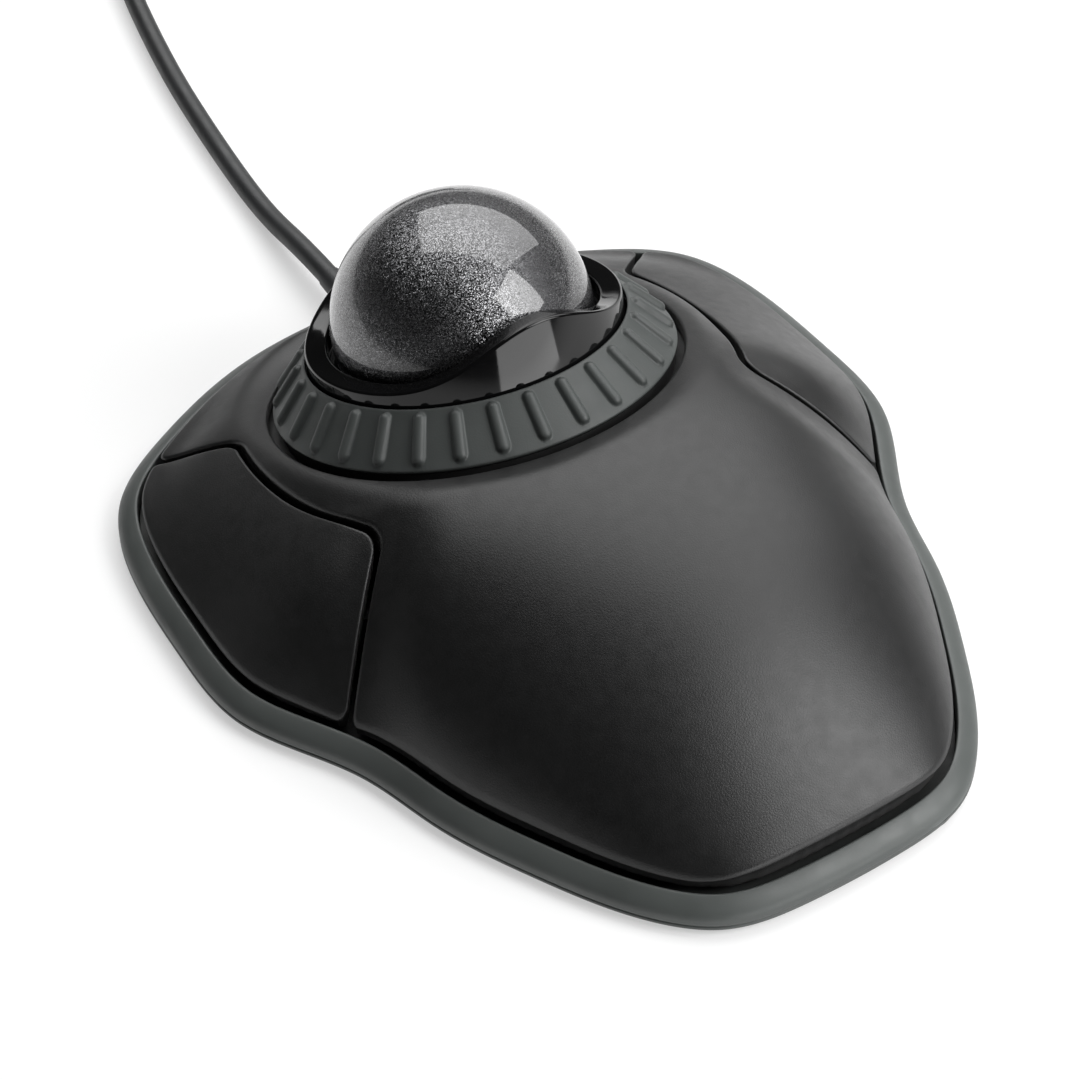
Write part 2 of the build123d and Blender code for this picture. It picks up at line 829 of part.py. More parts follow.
# ---------------------------------------------------------------- boards and switches
def make_main_board():
    board = block(-main_board_half_width, main_board_half_width, main_board_rear,
                  main_board_front, main_board_z, board_top)
    bar_rear = switch_y - cross_bar_length / 2
    board = board + block(-cross_bar_half_width, cross_bar_half_width, bar_rear,
                          main_board_front, main_board_z, board_top)
    wing = block(cross_bar_inner_x, cross_bar_half_width, bar_rear,
                 bar_rear + cross_bar_length, main_board_z, board_top)
    for one in both_sides(wing):
        board = board + one
    for x, y in standoff_places:
        for hole in both_sides(rod(x, y, main_board_z - 1, board_top + 1, screw_bore)):
            board = board - hole
    return board


def make_switch():
    body = block(switch_x - switch_width / 2, switch_x + switch_width / 2,
                 switch_y - switch_length / 2, switch_y + switch_length / 2,
                 board_top, board_top + switch_height)
    half_w = plunger_width / 2 + plunger_clearance
    half_l = plunger_length / 2 + plunger_clearance
    top = board_top + switch_height
    well = plunger_depth + press_travel + plunger_clearance
    body = chamfer(body.edges().filter_by(Axis.Z), switch_chamfer)
    return body - block(switch_x - half_w, switch_x + half_w, switch_y - half_l,
                        switch_y + half_l, top - well, top + 1)


def make_plunger():
    top = board_top + switch_height
    return block(switch_x - plunger_width / 2, switch_x + plunger_width / 2,
                 switch_y - plunger_length / 2, switch_y + plunger_length / 2,
                 top - plunger_depth, top + plunger_rise)


def make_small_parts():
    """Capacitors and resistors on the main board."""
    parts = []
    y = main_board_rear + resistor_from_rear
    for i in range(resistor_count):
        x = resistor_first_x + resistor_pitch * i
        top = board_top + resistor_size
        parts.append(block(x, x + resistor_length, y, y + resistor_size, board_top, top))
    y = main_board_rear + capacitor_from_rear
    for x in capacitor_x:
        parts.append(rod(x, y, board_top, board_top + capacitor_height, capacitor_radius))
    return group(parts)


def make_controller():
    return block(-controller_half, controller_half, controller_rear_y,
                 controller_rear_y + controller_length, board_top, board_top + controller_height)


def make_connector():
    """The socket under the main board that the cable's wires end in."""
    return block(-connector_half, connector_half, main_board_front - connector_length,
                 main_board_front, base_top - wire_channel_depth, main_board_z)


def make_wires():
    """The cable's four wires, laid in the base's channel under the ring and the cup."""
    rows = (wire_low_z, wire_low_z + 2 * wire_radius + wire_row_gap)
    side = wire_radius + wire_gap / 2
    wires = []
    for z in rows:
        for x in (-side, side):
            wires.append(long_rod(x, main_board_front, relief_inner_y, z, wire_radius))
    return group(wires)


# ---------------------------------------------------------------- cable and plug
lead_route = [
    (0, relief_tip_y, cable_exit_z), (0, 83, cable_exit_z), (0.2, 97, 1.9), (1.8, 116, 1.9),
    (5.2, 142, 1.9), (13, 176, 1.9), (29, 209, coil_lift + cable_radius),
]
# the coil has two layers: its turns run inwards below, and outwards again above
coil_half_spread = coil_turn_pitch * coil_turns / 4
coil_outer_turn = coil_mean_radius + coil_half_spread
coil_half_width = coil_half_spread + cable_radius
coil_height = coil_turn_pitch + 2 * cable_radius
arrival = (Vector(*lead_route[-1]) - Vector(*lead_route[-2])).normalized()
coil_centre = Vector(*lead_route[-1]) + Vector(arrival.Y, -arrival.X) * coil_outer_turn
tail_z = plug_body_height / 2
tail_start = (coil_centre.X, coil_centre.Y + coil_outer_turn, coil_lift + coil_height - cable_radius)
tail_route = [tail_start, (70, 227.4, 4.7), (84, 226.2, tail_z), (100, 222.8, tail_z)]


def cord_radii(route):
    """Each bend as large as its two runs allow."""
    radii = []
    for before, here, after in zip(route, route[1:], route[2:]):
        run_in = Vector(*here) - Vector(*before)
        run_out = Vector(*after) - Vector(*here)
        turn = math.radians(run_in.get_angle(run_out))
        radii.append(0.45 * min(run_in.length, run_out.length) / math.tan(turn / 2))
    return radii


def make_cord(route, name):
    radii = cord_radii(route)
    path = FilletPolyline(*route, radius=radii)
    first = Vector(*route[1]) - Vector(*route[0])
    section = Plane(origin=route[0], z_dir=first) * Circle(cable_radius)
    tube = sweep(section, path=path)
    share = tube.volume / (math.pi * cable_radius ** 2 * path.length)
    print(name, "length", round(path.length, 1), "radii", [round(r, 1) for r in radii],
          "volume over section times length", round(share, 4))
    return tube


def make_relief():
    """A plain stretch held in the casing's notch, then a taper down to the cable."""
    grip = long_rod(0, relief_inner_y, relief_front_y, cable_exit_z, relief_radius)
    place = Location((0, (relief_front_y + relief_tip_y) / 2, cable_exit_z), (-90, 0, 0))
    return grip + place * Cone(relief_radius, relief_end_radius, relief_length)


def make_coil():
    low, high = coil_lift, coil_lift + coil_height
    inner, outer = coil_mean_radius - coil_half_width, coil_mean_radius + coil_half_width
    corners = [(inner, low), (outer, low), (outer, high), (inner, high)]
    profile = make_face(Plane.XZ * Polyline(*corners, close=True))
    ring = revolve(fillet(profile.vertices(), cable_radius), axis=Axis.Z, revolution_arc=360)
    return Pos(coil_centre.X, coil_centre.Y, 0) * ring


def make_tie():
    """A band round the coil's bundle."""
    place = Pos(coil_centre.X, coil_centre.Y, 0) * Rot(0, 0, tie_angle)
    half = tie_width / 2
    near = math.sqrt((coil_mean_radius - coil_half_width) ** 2 - half ** 2)
    far = coil_mean_radius + coil_half_width
    top = coil_lift + coil_height
    outer = block(near - tie_thickness, far + tie_thickness, -half, half, 0, top + tie_thickness)
    inner = block(near, far, -tie_width, tie_width, coil_lift, top)
    return place * (outer - inner)


plug_way = Vector(*tail_route[-1]) - Vector(*tail_route[-2])
plug_plane = Plane(origin=tail_route[-1], x_dir=(-plug_way.Y, plug_way.X, 0), z_dir=plug_way)


def plug_box(width, height, start, end):
    return Pos(0, 0, (start + end) / 2) * Box(width, height, end - start)


def make_plug_body():
    body = plug_box(plug_body_width, plug_body_height, 0, plug_body_length)
    body = fillet(body.edges().filter_by(Axis.Z), plug_corner)
    return plug_plane.location * body


def make_plug_metal():
    end = plug_body_length + plug_metal_length
    shell = plug_box(plug_metal_width, plug_metal_height, plug_body_length, end)
    hollow = plug_box(plug_metal_width - 2 * plug_metal_wall, plug_metal_height - 2 * plug_metal_wall,
                      plug_body_length, end + 1)
    shell = shell - hollow
    for x in (-plug_window_pitch / 2, plug_window_pitch / 2):
        window = Box(plug_window, 2 * plug_metal_height, plug_window)
        shell = shell - Pos(x, 0, end - plug_window_from_end) * window
    return plug_plane.location * shell


def make_plug_tongue():
    width = plug_metal_width - 2 * plug_metal_wall
    half_gap = (plug_metal_height - 2 * plug_metal_wall) / 2
    end = plug_body_length + plug_metal_length - plug_tongue_recess
    tongue = plug_box(width, plug_tongue_thickness, plug_body_length, end)
    return plug_plane.location * Pos(0, plug_tongue_thickness / 2 - half_gap, 0) * tongue


# ---------------------------------------------------------------- build everything
def save_pair(shape, name):
    save(shape, "right_" + name)
    save(mirror(shape, about=Plane.YZ), "left_" + name)


save(make_upper_shell(), "upper_shell")
save_pair(make_button(), "button")
save_pair(make_hinge_pin(), "hinge_pin")
save(make_rim(), "rim_bumper")
save(make_base(), "base_plate")
save(make_feet(), "feet")
case_screws = [make_screw(sign * x, y, base_top + case_screw_grip)
               for x, y in case_bosses for sign in (-1, 1)]
save(group(case_screws), "case_screws")
cup_screws = [make_screw(sign * x, y, base_top + cup_screw_grip) for x, y in post_places for sign in (-1, 1)]
save(group(cup_screws), "cup_screws")
board_screws = [make_board_screw(sign * x, y) for x, y in standoff_places for sign in (-1, 1)]
save(group(board_screws), "board_screws")
save(sphere_at_ball(ball_radius), "ball")
save(make_cup(), "ball_cup")
save(make_bearings(), "ball_bearings")
save(make_collar(), "collar_bezel")
save(make_ring_sleeve(), "scroll_ring_sleeve")
save(make_ring_carrier(), "scroll_ring_carrier")
save(make_encoder(), "ring_encoder")
save(make_encoder_board(), "encoder_board")
save(make_lens(), "sensor_lens")
chip_start = lens_seat + lens_flange_thickness
save(sensor_block(chip_width, chip_height, chip_start, board_seat), "sensor_chip")
save(sensor_block(sensor_board_width, sensor_board_height, board_seat, board_seat + board_thickness),
     "sensor_board")
save(make_main_board(), "main_board")
save(make_controller(), "controller_chip")
save(make_small_parts(), "board_components")
save(make_connector(), "cable_connector")
save(make_wires(), "cable_wires")
save_pair(make_switch(), "switch")
save_pair(make_plunger(), "switch_plunger")
save(make_relief(), "strain_relief")
save(make_cord(lead_route, "cable_lead"), "cable_lead")
save(make_coil(), "cable_coil")
save(make_tie(), "coil_tie")
save(make_cord(tail_route, "cable_tail"), "cable_tail")
save(make_plug_body(), "plug_body")
save(make_plug_metal(), "plug_shell")
save(make_plug_tongue(), "plug_tongue")
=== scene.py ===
import json
import math

import bpy
import numpy as np
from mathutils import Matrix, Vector
from mathutils.geometry import delaunay_2d_cdt


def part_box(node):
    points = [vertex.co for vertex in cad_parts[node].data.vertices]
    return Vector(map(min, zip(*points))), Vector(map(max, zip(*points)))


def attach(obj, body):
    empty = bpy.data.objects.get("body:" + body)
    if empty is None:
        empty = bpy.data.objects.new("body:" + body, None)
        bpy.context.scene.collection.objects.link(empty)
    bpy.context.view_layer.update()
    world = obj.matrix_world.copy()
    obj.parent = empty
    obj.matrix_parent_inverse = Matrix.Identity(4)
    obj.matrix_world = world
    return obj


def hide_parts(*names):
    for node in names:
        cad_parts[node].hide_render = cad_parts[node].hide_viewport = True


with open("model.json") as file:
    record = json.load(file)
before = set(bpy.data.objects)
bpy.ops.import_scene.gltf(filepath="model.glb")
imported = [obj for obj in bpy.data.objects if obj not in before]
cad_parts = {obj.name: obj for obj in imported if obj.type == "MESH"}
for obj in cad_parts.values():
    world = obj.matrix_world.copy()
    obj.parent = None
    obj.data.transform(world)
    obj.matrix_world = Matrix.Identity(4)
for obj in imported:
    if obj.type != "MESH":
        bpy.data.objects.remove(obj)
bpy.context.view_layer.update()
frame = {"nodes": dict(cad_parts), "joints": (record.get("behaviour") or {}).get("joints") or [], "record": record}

# Trackball mouse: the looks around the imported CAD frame.
# Shapes are worked out in millimetres and reach Blender in metres.
MM = 0.001

# ---------------------------------------------------------------- places read from the frame


def box_mm(node):
    low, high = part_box(node)
    return np.array(low) / MM, np.array(high) / MM


rim_low, _ = box_mm("rim_bumper")
ball_low, ball_high = box_mm("ball")
rim_bottom_z = rim_low[2]
ball_centre = (ball_low + ball_high) / 2
ball_radius = (ball_high[2] - ball_low[2]) / 2
ball_y = ball_centre[1]
ball_height = ball_centre[2]
ring_joint = [j for j in frame["joints"] if j["name"] == "scroll_ring_turn"][0]
ring_up = np.array(ring_joint["axis"], float)
ring_up = ring_up / np.linalg.norm(ring_up)
ring_forward = np.array([0.0, ring_up[2], -ring_up[1]])
ring_right = np.array([1.0, 0.0, 0.0])

# ---------------------------------------------------------------- sizes of the casing, as in the CAD
overall_width = 117.6
overall_length = 136.2
half_width = overall_width / 2
half_length = overall_length / 2
shell_inset = 3.5
shell_edge_z = 6.2
shell_wall = 2.0
palm_height = 31.4
palm_crest_back = 35.4
palm_fall = 2.17
palm_rear_z = 8.1
palm_round = 2.14
palm_flank = 0.54
wing_round = 2.8
wing_slope = 0.372
wing_rise = 18.6
wing_rise_back = -3.06
trough_depth = 2.6
trough_width = 6.0
trough_middle = 0.45
trough_reach = 0.65
palm_blend = 12.0
lip_width = 6.0
crest_softness = 1.2
front_ramp = 0.9
front_ramp_rise = 1.4
front_curve = 0.0063
edge_share = 0.97
edge_depth = 0.35
edge_probe = 0.02
width_rear_margin = 9.0
width_front_margin = 18.0
seam_inner_x = 31.7
seam_inner_back = 29.4
seam_heading = math.radians(-44.9)
seam_length = 20.0
seam_gap = 1.0
button_corner = 4.0
seam_front_x = 35.2
seam_front_ahead = 7.8
seam_side_x = 36.9
seam_side_back = 8.6
seam_back_x = 31.6
seam_back_back = 28.6
seam_run = 30.0
seam_front_run = (30.0, 30.7)

# the covers stop short of the CAD's edge at the rim, for a dark line there, and reach nearer the ring
cover_reveal = 0.4
hole_trim = 0.35

# ball surround and ring, heights along the ring's axis from the ball's centre
hole_radius = 32.5
hole_h = -9.37
cup_rim_h = -3.4
cup_flange_h = -12.5
collar_radius = 24.3
collar_bore = ball_radius + 0.9
collar_lobe = 6.9
collar_lobe_power = 13
collar_back_lobe = 4.6
collar_back_power = 9
collar_side_h = 0.1
ring_top_radius = 24.9
ring_top_h = -1.75
ring_edge_radius = 31.3
ring_edge_h = -8.77
sleeve_thickness = 1.2
rib_count = 30
rib_first_angle = math.radians(-87.5)

# outline of the casing, right half from front to rear, as shares of half its width and length
outline_shares = [
    (0, 1), (0.374, 0.969), (0.679, 0.860), (0.890, 0.722), (0.975, 0.523),
    (1, 0.264), (0.983, 0.038), (0.900, -0.106), (0.818, -0.235), (0.752, -0.420),
    (0.633, -0.649), (0.475, -0.866), (0.348, -0.959), (0.136, -0.996),
]

# ---------------------------------------------------------------- curves in plan
outline_step = 0.5
plan_step = 0.4
seam_step = 0.35
edge_corner = 1.3
hole_points = 480


def spaced(points, step, closed):
    """The polyline sampled again at even steps."""
    if closed:
        points = np.vstack([points, points[:1]])
    runs = np.linalg.norm(np.diff(points, axis=0), axis=1)
    reach = np.concatenate([[0], np.cumsum(runs)])
    count = max(int(round(reach[-1] / step)), 8)
    places = np.linspace(0, reach[-1], count + 1)
    if closed:
        places = places[:-1]
    return np.column_stack([np.interp(places, reach, axis) for axis in points.T])


def closed_spline(points, step):
    """A smooth closed curve through the points: cubic, in step with the chords."""
    points = np.array(points, float)
    count = len(points)
    gaps = np.linalg.norm(np.roll(points, -1, axis=0) - points, axis=1)
    matrix = np.zeros((count, count))
    right = np.zeros((count, 2))
    for i in range(count):
        before, after = gaps[i - 1], gaps[i]
        matrix[i, i - 1] = before
        matrix[i, i] = 2 * (before + after)
        matrix[i, (i + 1) % count] = after
        leaving = (points[(i + 1) % count] - points[i]) / after
        coming = (points[i] - points[i - 1]) / before
        right[i] = 6 * (leaving - coming)
    bend = np.linalg.solve(matrix, right)
    spans = []
    for i in range(count):
        far = (i + 1) % count
        gap = gaps[i]
        s = np.linspace(0, gap, 40, endpoint=False)[:, None]
        spans.append((bend[i] * (gap - s) ** 3 + bend[far] * s ** 3) / (6 * gap)
                     + (points[i] / gap - bend[i] * gap / 6) * (gap - s)
                     + (points[far] / gap - bend[far] * gap / 6) * s)
    return spaced(np.vstack(spans), step, True)


def inward(loop):
    """Unit vectors to the left of a closed loop's direction."""
    along = np.roll(loop, -1, axis=0) - np.roll(loop, 1, axis=0)
    along = along / np.linalg.norm(along, axis=1)[:, None]
    return np.column_stack([-along[:, 1], along[:, 0]])


def to_left(path, amount):
    """An open path moved to its left."""
    along = np.gradient(path, axis=0)
    along = along / np.linalg.norm(along, axis=1)[:, None]
    return path + amount * np.column_stack([-along[:, 1], along[:, 0]])


def mirrored(path):
    """The path on the other side, run the other way, so that it still turns anticlockwise."""
    return (path * [-1, 1])[::-1]


right_half = [(sx * half_width, sy * half_length) for sx, sy in outline_shares]
left_half = [(-x, y) for x, y in right_half[1:]]
outline = closed_spline(left_half + right_half[1:][::-1] + right_half[:1], outline_step)
shell_edge = outline + shell_inset * inward(outline)
cover_edge = outline + (shell_inset + cover_reveal) * inward(outline)


def cut_path(path, length, at_end):
    """An open path, shorter by length at one end."""
    points = path[::-1] if at_end else path
    runs = np.linalg.norm(np.diff(points, axis=0), axis=1)
    reach = np.concatenate([[0], np.cumsum(runs)])
    keep = reach > length
    start = [np.interp(length, reach, points[:, i]) for i in range(2)]
    points = np.vstack([start, points[keep]])
    return points[::-1] if at_end else points


def join_rounded(paths, radii, closed):
    """Paths that meet end to end, with an arc of its own radius at each meeting."""
    paths = list(paths)
    meets = len(paths) if closed else len(paths) - 1
    arcs = []
    for i in range(meets):
        j = (i + 1) % len(paths)
        way_in = paths[i][-1] - paths[i][-3]
        way_out = paths[j][2] - paths[j][0]
        way_in, way_out = way_in / np.linalg.norm(way_in), way_out / np.linalg.norm(way_out)
        turn = math.acos(max(-1.0, min(1.0, float(way_in @ way_out))))
        reach = radii[i] * math.tan(turn / 2)
        handle = radii[i] * math.tan(turn / 4) * 4 / 3
        paths[i] = cut_path(paths[i], reach, True)
        paths[j] = cut_path(paths[j], reach, False)
        a, d = paths[i][-1], paths[j][0]
        b, c = a + way_in * handle, d - way_out * handle
        t = np.linspace(0, 1, 12)[1:-1, None]
        arcs.append(a * (1 - t) ** 3 + 3 * b * t * (1 - t) ** 2 + 3 * c * t * t * (1 - t) + d * t ** 3)
    joined = []
    for i, path in enumerate(paths):
        joined.append(path)
        if i < meets:
            joined.append(arcs[i])
    return np.vstack(joined)


def crossing(path, loop):
    """Where an open path first crosses a closed loop: (index on path, index on loop, place)."""
    a0, a1 = path[:-1, None], path[1:, None]
    b0, b1 = loop[None], np.roll(loop, -1, axis=0)[None]
    da, db, gap = a1 - a0, b1 - b0, b0 - a0
    cross = da[..., 0] * db[..., 1] - da[..., 1] * db[..., 0]
    cross = np.where(abs(cross) < 1e-12, 1e-12, cross)
    s = (gap[..., 0] * db[..., 1] - gap[..., 1] * db[..., 0]) / cross
    t = (gap[..., 0] * da[..., 1] - gap[..., 1] * da[..., 0]) / cross
    hit = np.argwhere((s >= 0) & (s < 1) & (t >= 0) & (t < 1))[0]
    return hit[0], hit[1], path[hit[0]] + s[hit[0], hit[1]] * (path[hit[0] + 1] - path[hit[0]])


def loop_part(loop, start, end, first, last):
    """The stretch of a closed loop from crossing start to crossing end, with those end places."""
    count = len(loop)
    run = (end - start) % count
    return np.vstack([first, loop[(start + 1 + np.arange(run)) % count], last])


def arc_through(a, b, c, count=60):
    """Points on the circle through three places, from a to c."""
    a, b, c = (np.array(p, float) for p in (a, b, c))
    matrix = 2 * np.array([b - a, c - a])
    centre = np.linalg.solve(matrix, [b @ b - a @ a, c @ c - a @ a])
    start, middle, end = (math.atan2(*(p - centre)[::-1]) for p in (a, b, c))
    radius = np.linalg.norm(a - centre)
    sweep = (end - start) % (2 * math.pi)
    if (middle - start) % (2 * math.pi) > sweep:
        sweep -= 2 * math.pi
    turn = start + np.linspace(0, sweep, count)
    return centre + radius * np.column_stack([np.cos(turn), np.sin(turn)])


def line(a, b, count=80):
    a, b = np.array(a, float), np.array(b, float)
    return a + np.linspace(0, 1, count)[:, None] * (b - a)


def seam_path():
    """The right button's seam, from the front edge round its inner side to the back edge."""
    front_in = (seam_front_x, ball_y + seam_front_ahead)
    side_mid = (seam_side_x, ball_y - seam_side_back)
    back_in = (seam_back_x, ball_y - seam_back_back)
    back_out = (back_in[0] + seam_run * math.cos(seam_heading),
                back_in[1] + seam_run * math.sin(seam_heading))
    front_out = (front_in[0] + seam_front_run[0], front_in[1] + seam_front_run[1])
    parts = [line(front_out, front_in), arc_through(front_in, side_mid, back_in),
             line(back_in, back_out)]
    return spaced(join_rounded(parts, [button_corner, button_corner], False), seam_step, False)


def button_loop():
    """The right button in plan, anticlockwise."""
    seam = to_left(seam_path(), seam_gap / 2)
    i0, j0, front = crossing(seam, cover_edge)
    i1, j1, back = crossing(seam[::-1], cover_edge)
    inner = np.vstack([front, seam[i0 + 1:len(seam) - 1 - i1], back])
    outer = loop_part(cover_edge, j1, j0, back, front)
    return spaced(join_rounded([inner, outer], [edge_corner, edge_corner], True), plan_step, True)


def shell_loop():
    """The upper shell in plan, anticlockwise, round both buttons."""
    seam = to_left(seam_path(), -seam_gap / 2)
    i0, _, front = crossing(seam, cover_edge)
    i1, _, back = crossing(seam[::-1], cover_edge)
    right = np.vstack([front, seam[i0 + 1:len(seam) - 1 - i1], back])[::-1]
    left = mirrored(right)
    meetings = (right[-1], left[0], left[-1], right[0])
    near = [int(np.argmin(np.linalg.norm(cover_edge - place, axis=1))) for place in meetings]
    front_edge = loop_part(cover_edge, near[0] + 1, near[1] - 2, right[-1], left[0])
    rear_edge = loop_part(cover_edge, near[2] + 1, near[3] - 2, left[-1], right[0])
    corners = [edge_corner] * 4
    return spaced(join_rounded([right, front_edge, left, rear_edge], corners, True), plan_step, True)


def hole_loop():
    """The ring's hole in plan, clockwise, so that its left is the shell."""
    turn = -np.linspace(0, 2 * math.pi, hole_points, endpoint=False)
    centre = ball_centre + ring_up * hole_h
    radius = hole_radius - hole_trim
    x = centre[0] + radius * np.cos(turn)
    y = centre[1] + radius * np.sin(turn) * ring_forward[1]
    return np.column_stack([x, y])


# ---------------------------------------------------------------- the casing's top surface
edge_right = shell_edge[shell_edge[:, 0] > 0]
edge_right = edge_right[np.argsort(edge_right[:, 1])]
width_rear_y = -half_length + width_rear_margin
width_front_y = half_length - width_front_margin


def shell_half_width(y):
    def look(v):
        return np.interp(v, edge_right[:, 1], edge_right[:, 0])

    rear_slope = (look(width_rear_y + 2) - look(width_rear_y)) / 2
    rear = look(width_rear_y) + rear_slope * (y - width_rear_y)
    front_slope = (look(width_front_y) - look(width_front_y - 2)) / 2
    front = look(width_front_y) + front_slope * (y - width_front_y)
    return np.where(y < width_rear_y, rear, np.where(y > width_front_y, front, look(y)))


def smooth_step(t):
    t = np.clip(t, 0, 1)
    return t * t * (3 - 2 * t)


def crown(x, y):
    """Height of the casing along its spine."""
    back = ball_y - y
    ring_line = wing_rise + wing_slope * (back - wing_rise_back)
    fall_length = ball_y + half_length - shell_inset - palm_crest_back
    fallen = np.maximum((back - palm_crest_back) / fall_length, 0)
    palm_line = palm_height - (palm_height - palm_rear_z) * fallen ** palm_fall
    front = half_length - shell_inset - front_curve * x * x
    ramp = shell_edge_z + front_ramp_rise + front_ramp * (front - y)
    lines = np.stack([ring_line, palm_line, ramp])
    low = lines.min(axis=0)
    return low - crest_softness * np.log(np.exp(-(lines - low) / crest_softness).sum(axis=0))


def flank(share, roundness, flatness):
    """From 1 on the spine to 0 at the edge, and levelling out below 0 beyond it."""
    at_edge = (1 - edge_share ** roundness) ** flatness

    def level(s):
        return ((1 - (edge_share * s) ** roundness) ** flatness - at_edge) / (1 - at_edge)

    slope = (level(1.0) - level(1.0 - edge_probe)) / edge_probe
    beyond = -edge_depth * (1 - np.exp(np.maximum(share - 1, 0) * slope / edge_depth))
    return np.where(share <= 1, level(np.minimum(share, 1)), beyond)


def casing_height(x, y):
    dx = abs(x) - seam_inner_x
    dy = y - (ball_y - seam_inner_back)
    along = dx * math.cos(seam_heading) + dy * math.sin(seam_heading)
    behind = dx * math.sin(seam_heading) - dy * math.cos(seam_heading)
    palm = smooth_step(behind / palm_blend)
    roundness = wing_round + (palm_round - wing_round) * palm
    flatness = 1 + (palm_flank - 1) * palm
    share = abs(x) / shell_half_width(y)
    z = shell_edge_z + (crown(x, y) - shell_edge_z) * flank(share, roundness, flatness)
    off_middle = (along - trough_middle * seam_length) / (trough_reach * seam_length)
    reach = np.maximum(1 - off_middle ** 2, 0)
    z = z - trough_depth * reach * np.exp(-(behind / trough_width) ** 2)
    rim = ball_height + (hole_h - ring_up[1] * (y - ball_y)) / ring_up[2]
    centre = ball_centre + ring_up * hole_h
    radius = np.sqrt((x - centre[0]) ** 2 + (y - centre[1]) ** 2 + (rim - centre[2]) ** 2)
    return rim + (z - rim) * smooth_step((radius - hole_radius) / lip_width)


def inner_height(x, y):
    step = 0.5
    slope_x = (casing_height(x + step, y) - casing_height(x - step, y)) / (2 * step)
    slope_y = (casing_height(x, y + step) - casing_height(x, y - step)) / (2 * step)
    return casing_height(x, y) - shell_wall * np.sqrt(1 + slope_x ** 2 + slope_y ** 2)


# ---------------------------------------------------------------- mesh helpers
# a filling's rows and its gap beside a border, as shares of its step
grid_row_share = 0.866
grid_gap_share = 0.62


def new_mesh(name, places, faces, material):
    """A smooth-shaded mesh object from places in millimetres."""
    mesh = bpy.data.meshes.new(name)
    mesh.from_pydata((np.asarray(places, float) * MM).tolist(), [], [list(map(int, f)) for f in faces])
    mesh.validate()
    mesh.polygons.foreach_set("use_smooth", [True] * len(mesh.polygons))
    piece = bpy.data.objects.new(name, mesh)
    bpy.context.scene.collection.objects.link(piece)
    mesh.materials.append(material)
    return piece


def strip(first, second, count, closed=True):
    """Quads between two rings of vertices that start at first and second."""
    steps = range(count) if closed else range(count - 1)
    return [(first + i, first + (i + 1) % count, second + (i + 1) % count, second + i) for i in steps]


def inside(points, loop):
    """Whether each point lies in the closed loop, by the even-odd rule."""
    x, y = points[:, 0], points[:, 1]
    result = np.zeros(len(points), bool)
    far = np.roll(loop, -1, axis=0)
    for (x0, y0), (x1, y1) in zip(loop, far):
        if y0 == y1:
            continue
        crosses = (y0 > y) != (y1 > y)
        result ^= crosses & (x < (x1 - x0) * (y - y0) / (y1 - y0) + x0)
    return result


def near_loop(points, loop, distance):
    """Whether each point is within distance of the loop's points."""
    close = np.zeros(len(points), bool)
    for place in loop[::2]:
        close |= ((points - place) ** 2).sum(axis=1) < distance ** 2
    return close


def filled(loops, step):
    """Triangles that fill the first loop outside the others: (extra points, faces).

    Faces count the loops' points first, in order, and then the extra points."""
    outer, holes = loops[0], loops[1:]
    low, high = outer.min(axis=0), outer.max(axis=0)
    xs = np.arange(low[0] + step / 2, high[0], step)
    ys = np.arange(low[1] + step / 2, high[1], step * grid_row_share)
    grid = np.array([(x + (step / 2 if j % 2 else 0), y) for j, y in enumerate(ys) for x in xs])
    keep = inside(grid, outer)
    for hole in holes:
        keep &= ~inside(grid, hole)
    grid = grid[keep]
    for loop in loops:
        grid = grid[~near_loop(grid, loop, grid_gap_share * step)]
    points = np.vstack(list(loops) + [grid])
    edges, start = [], 0
    for loop in loops:
        edges += [(start + i, start + (i + 1) % len(loop)) for i in range(len(loop))]
        start += len(loop)
    result = delaunay_2d_cdt([Vector(p) for p in points], edges, [], 0, 1e-7, True)
    triangles, origins = result[2], result[3]
    index = [o[0] if o else -1 for o in origins]
    faces = np.array([[index[v] for v in f] for f in triangles])
    return grid, faces[kept_patches(points, faces, edges, loops)]


def twice_area(a, b, c):
    """Twice the area in plan of triangles, below 0 where they turn clockwise."""
    return (b - a)[:, 0] * (c - a)[:, 1] - (b - a)[:, 1] * (c - a)[:, 0]


def kept_patches(points, faces, borders, loops):
    """Which triangles lie in the first loop and outside the others.

    Triangles that meet across an edge which is no border form a patch, and a patch goes by its
    largest triangle, so slivers beside a straight border aren't judged by themselves."""
    walls = {frozenset(edge) for edge in borders}
    leader = list(range(len(faces)))

    def top(i):
        while leader[i] != i:
            leader[i] = leader[leader[i]]
            i = leader[i]
        return i

    owner = {}
    for i, face in enumerate(faces.tolist()):
        for k in range(3):
            side = frozenset((face[k], face[k - 1]))
            if side not in walls:
                leader[top(i)] = top(owner.setdefault(side, i))
    a, b, c = (points[faces[:, k]] for k in range(3))
    area = abs(twice_area(a, b, c))
    patch = np.array([top(i) for i in range(len(faces))])
    keep = np.zeros(len(faces), bool)
    for leading in set(patch.tolist()):
        members = patch == leading
        largest = np.argmax(np.where(members, area, -1))
        middle = points[faces[largest]].mean(axis=0)[None]
        in_hole = any(inside(middle, hole)[0] for hole in loops[1:])
        keep[members] = inside(middle, loops[0])[0] and not in_hole
    return keep


edge_round = 0.55
edge_steps = 6
grid_step = 1.0
inner_step = 2.5
lip_wall = 1.6
ceiling_gap = 0.02
ceiling_depth = 1.2
# the lip on its way down: (share of its height, share of its roll inwards)
lip_shares = ((0.15, 0.5), (0.45, 0.92), (1.0, 1.0))


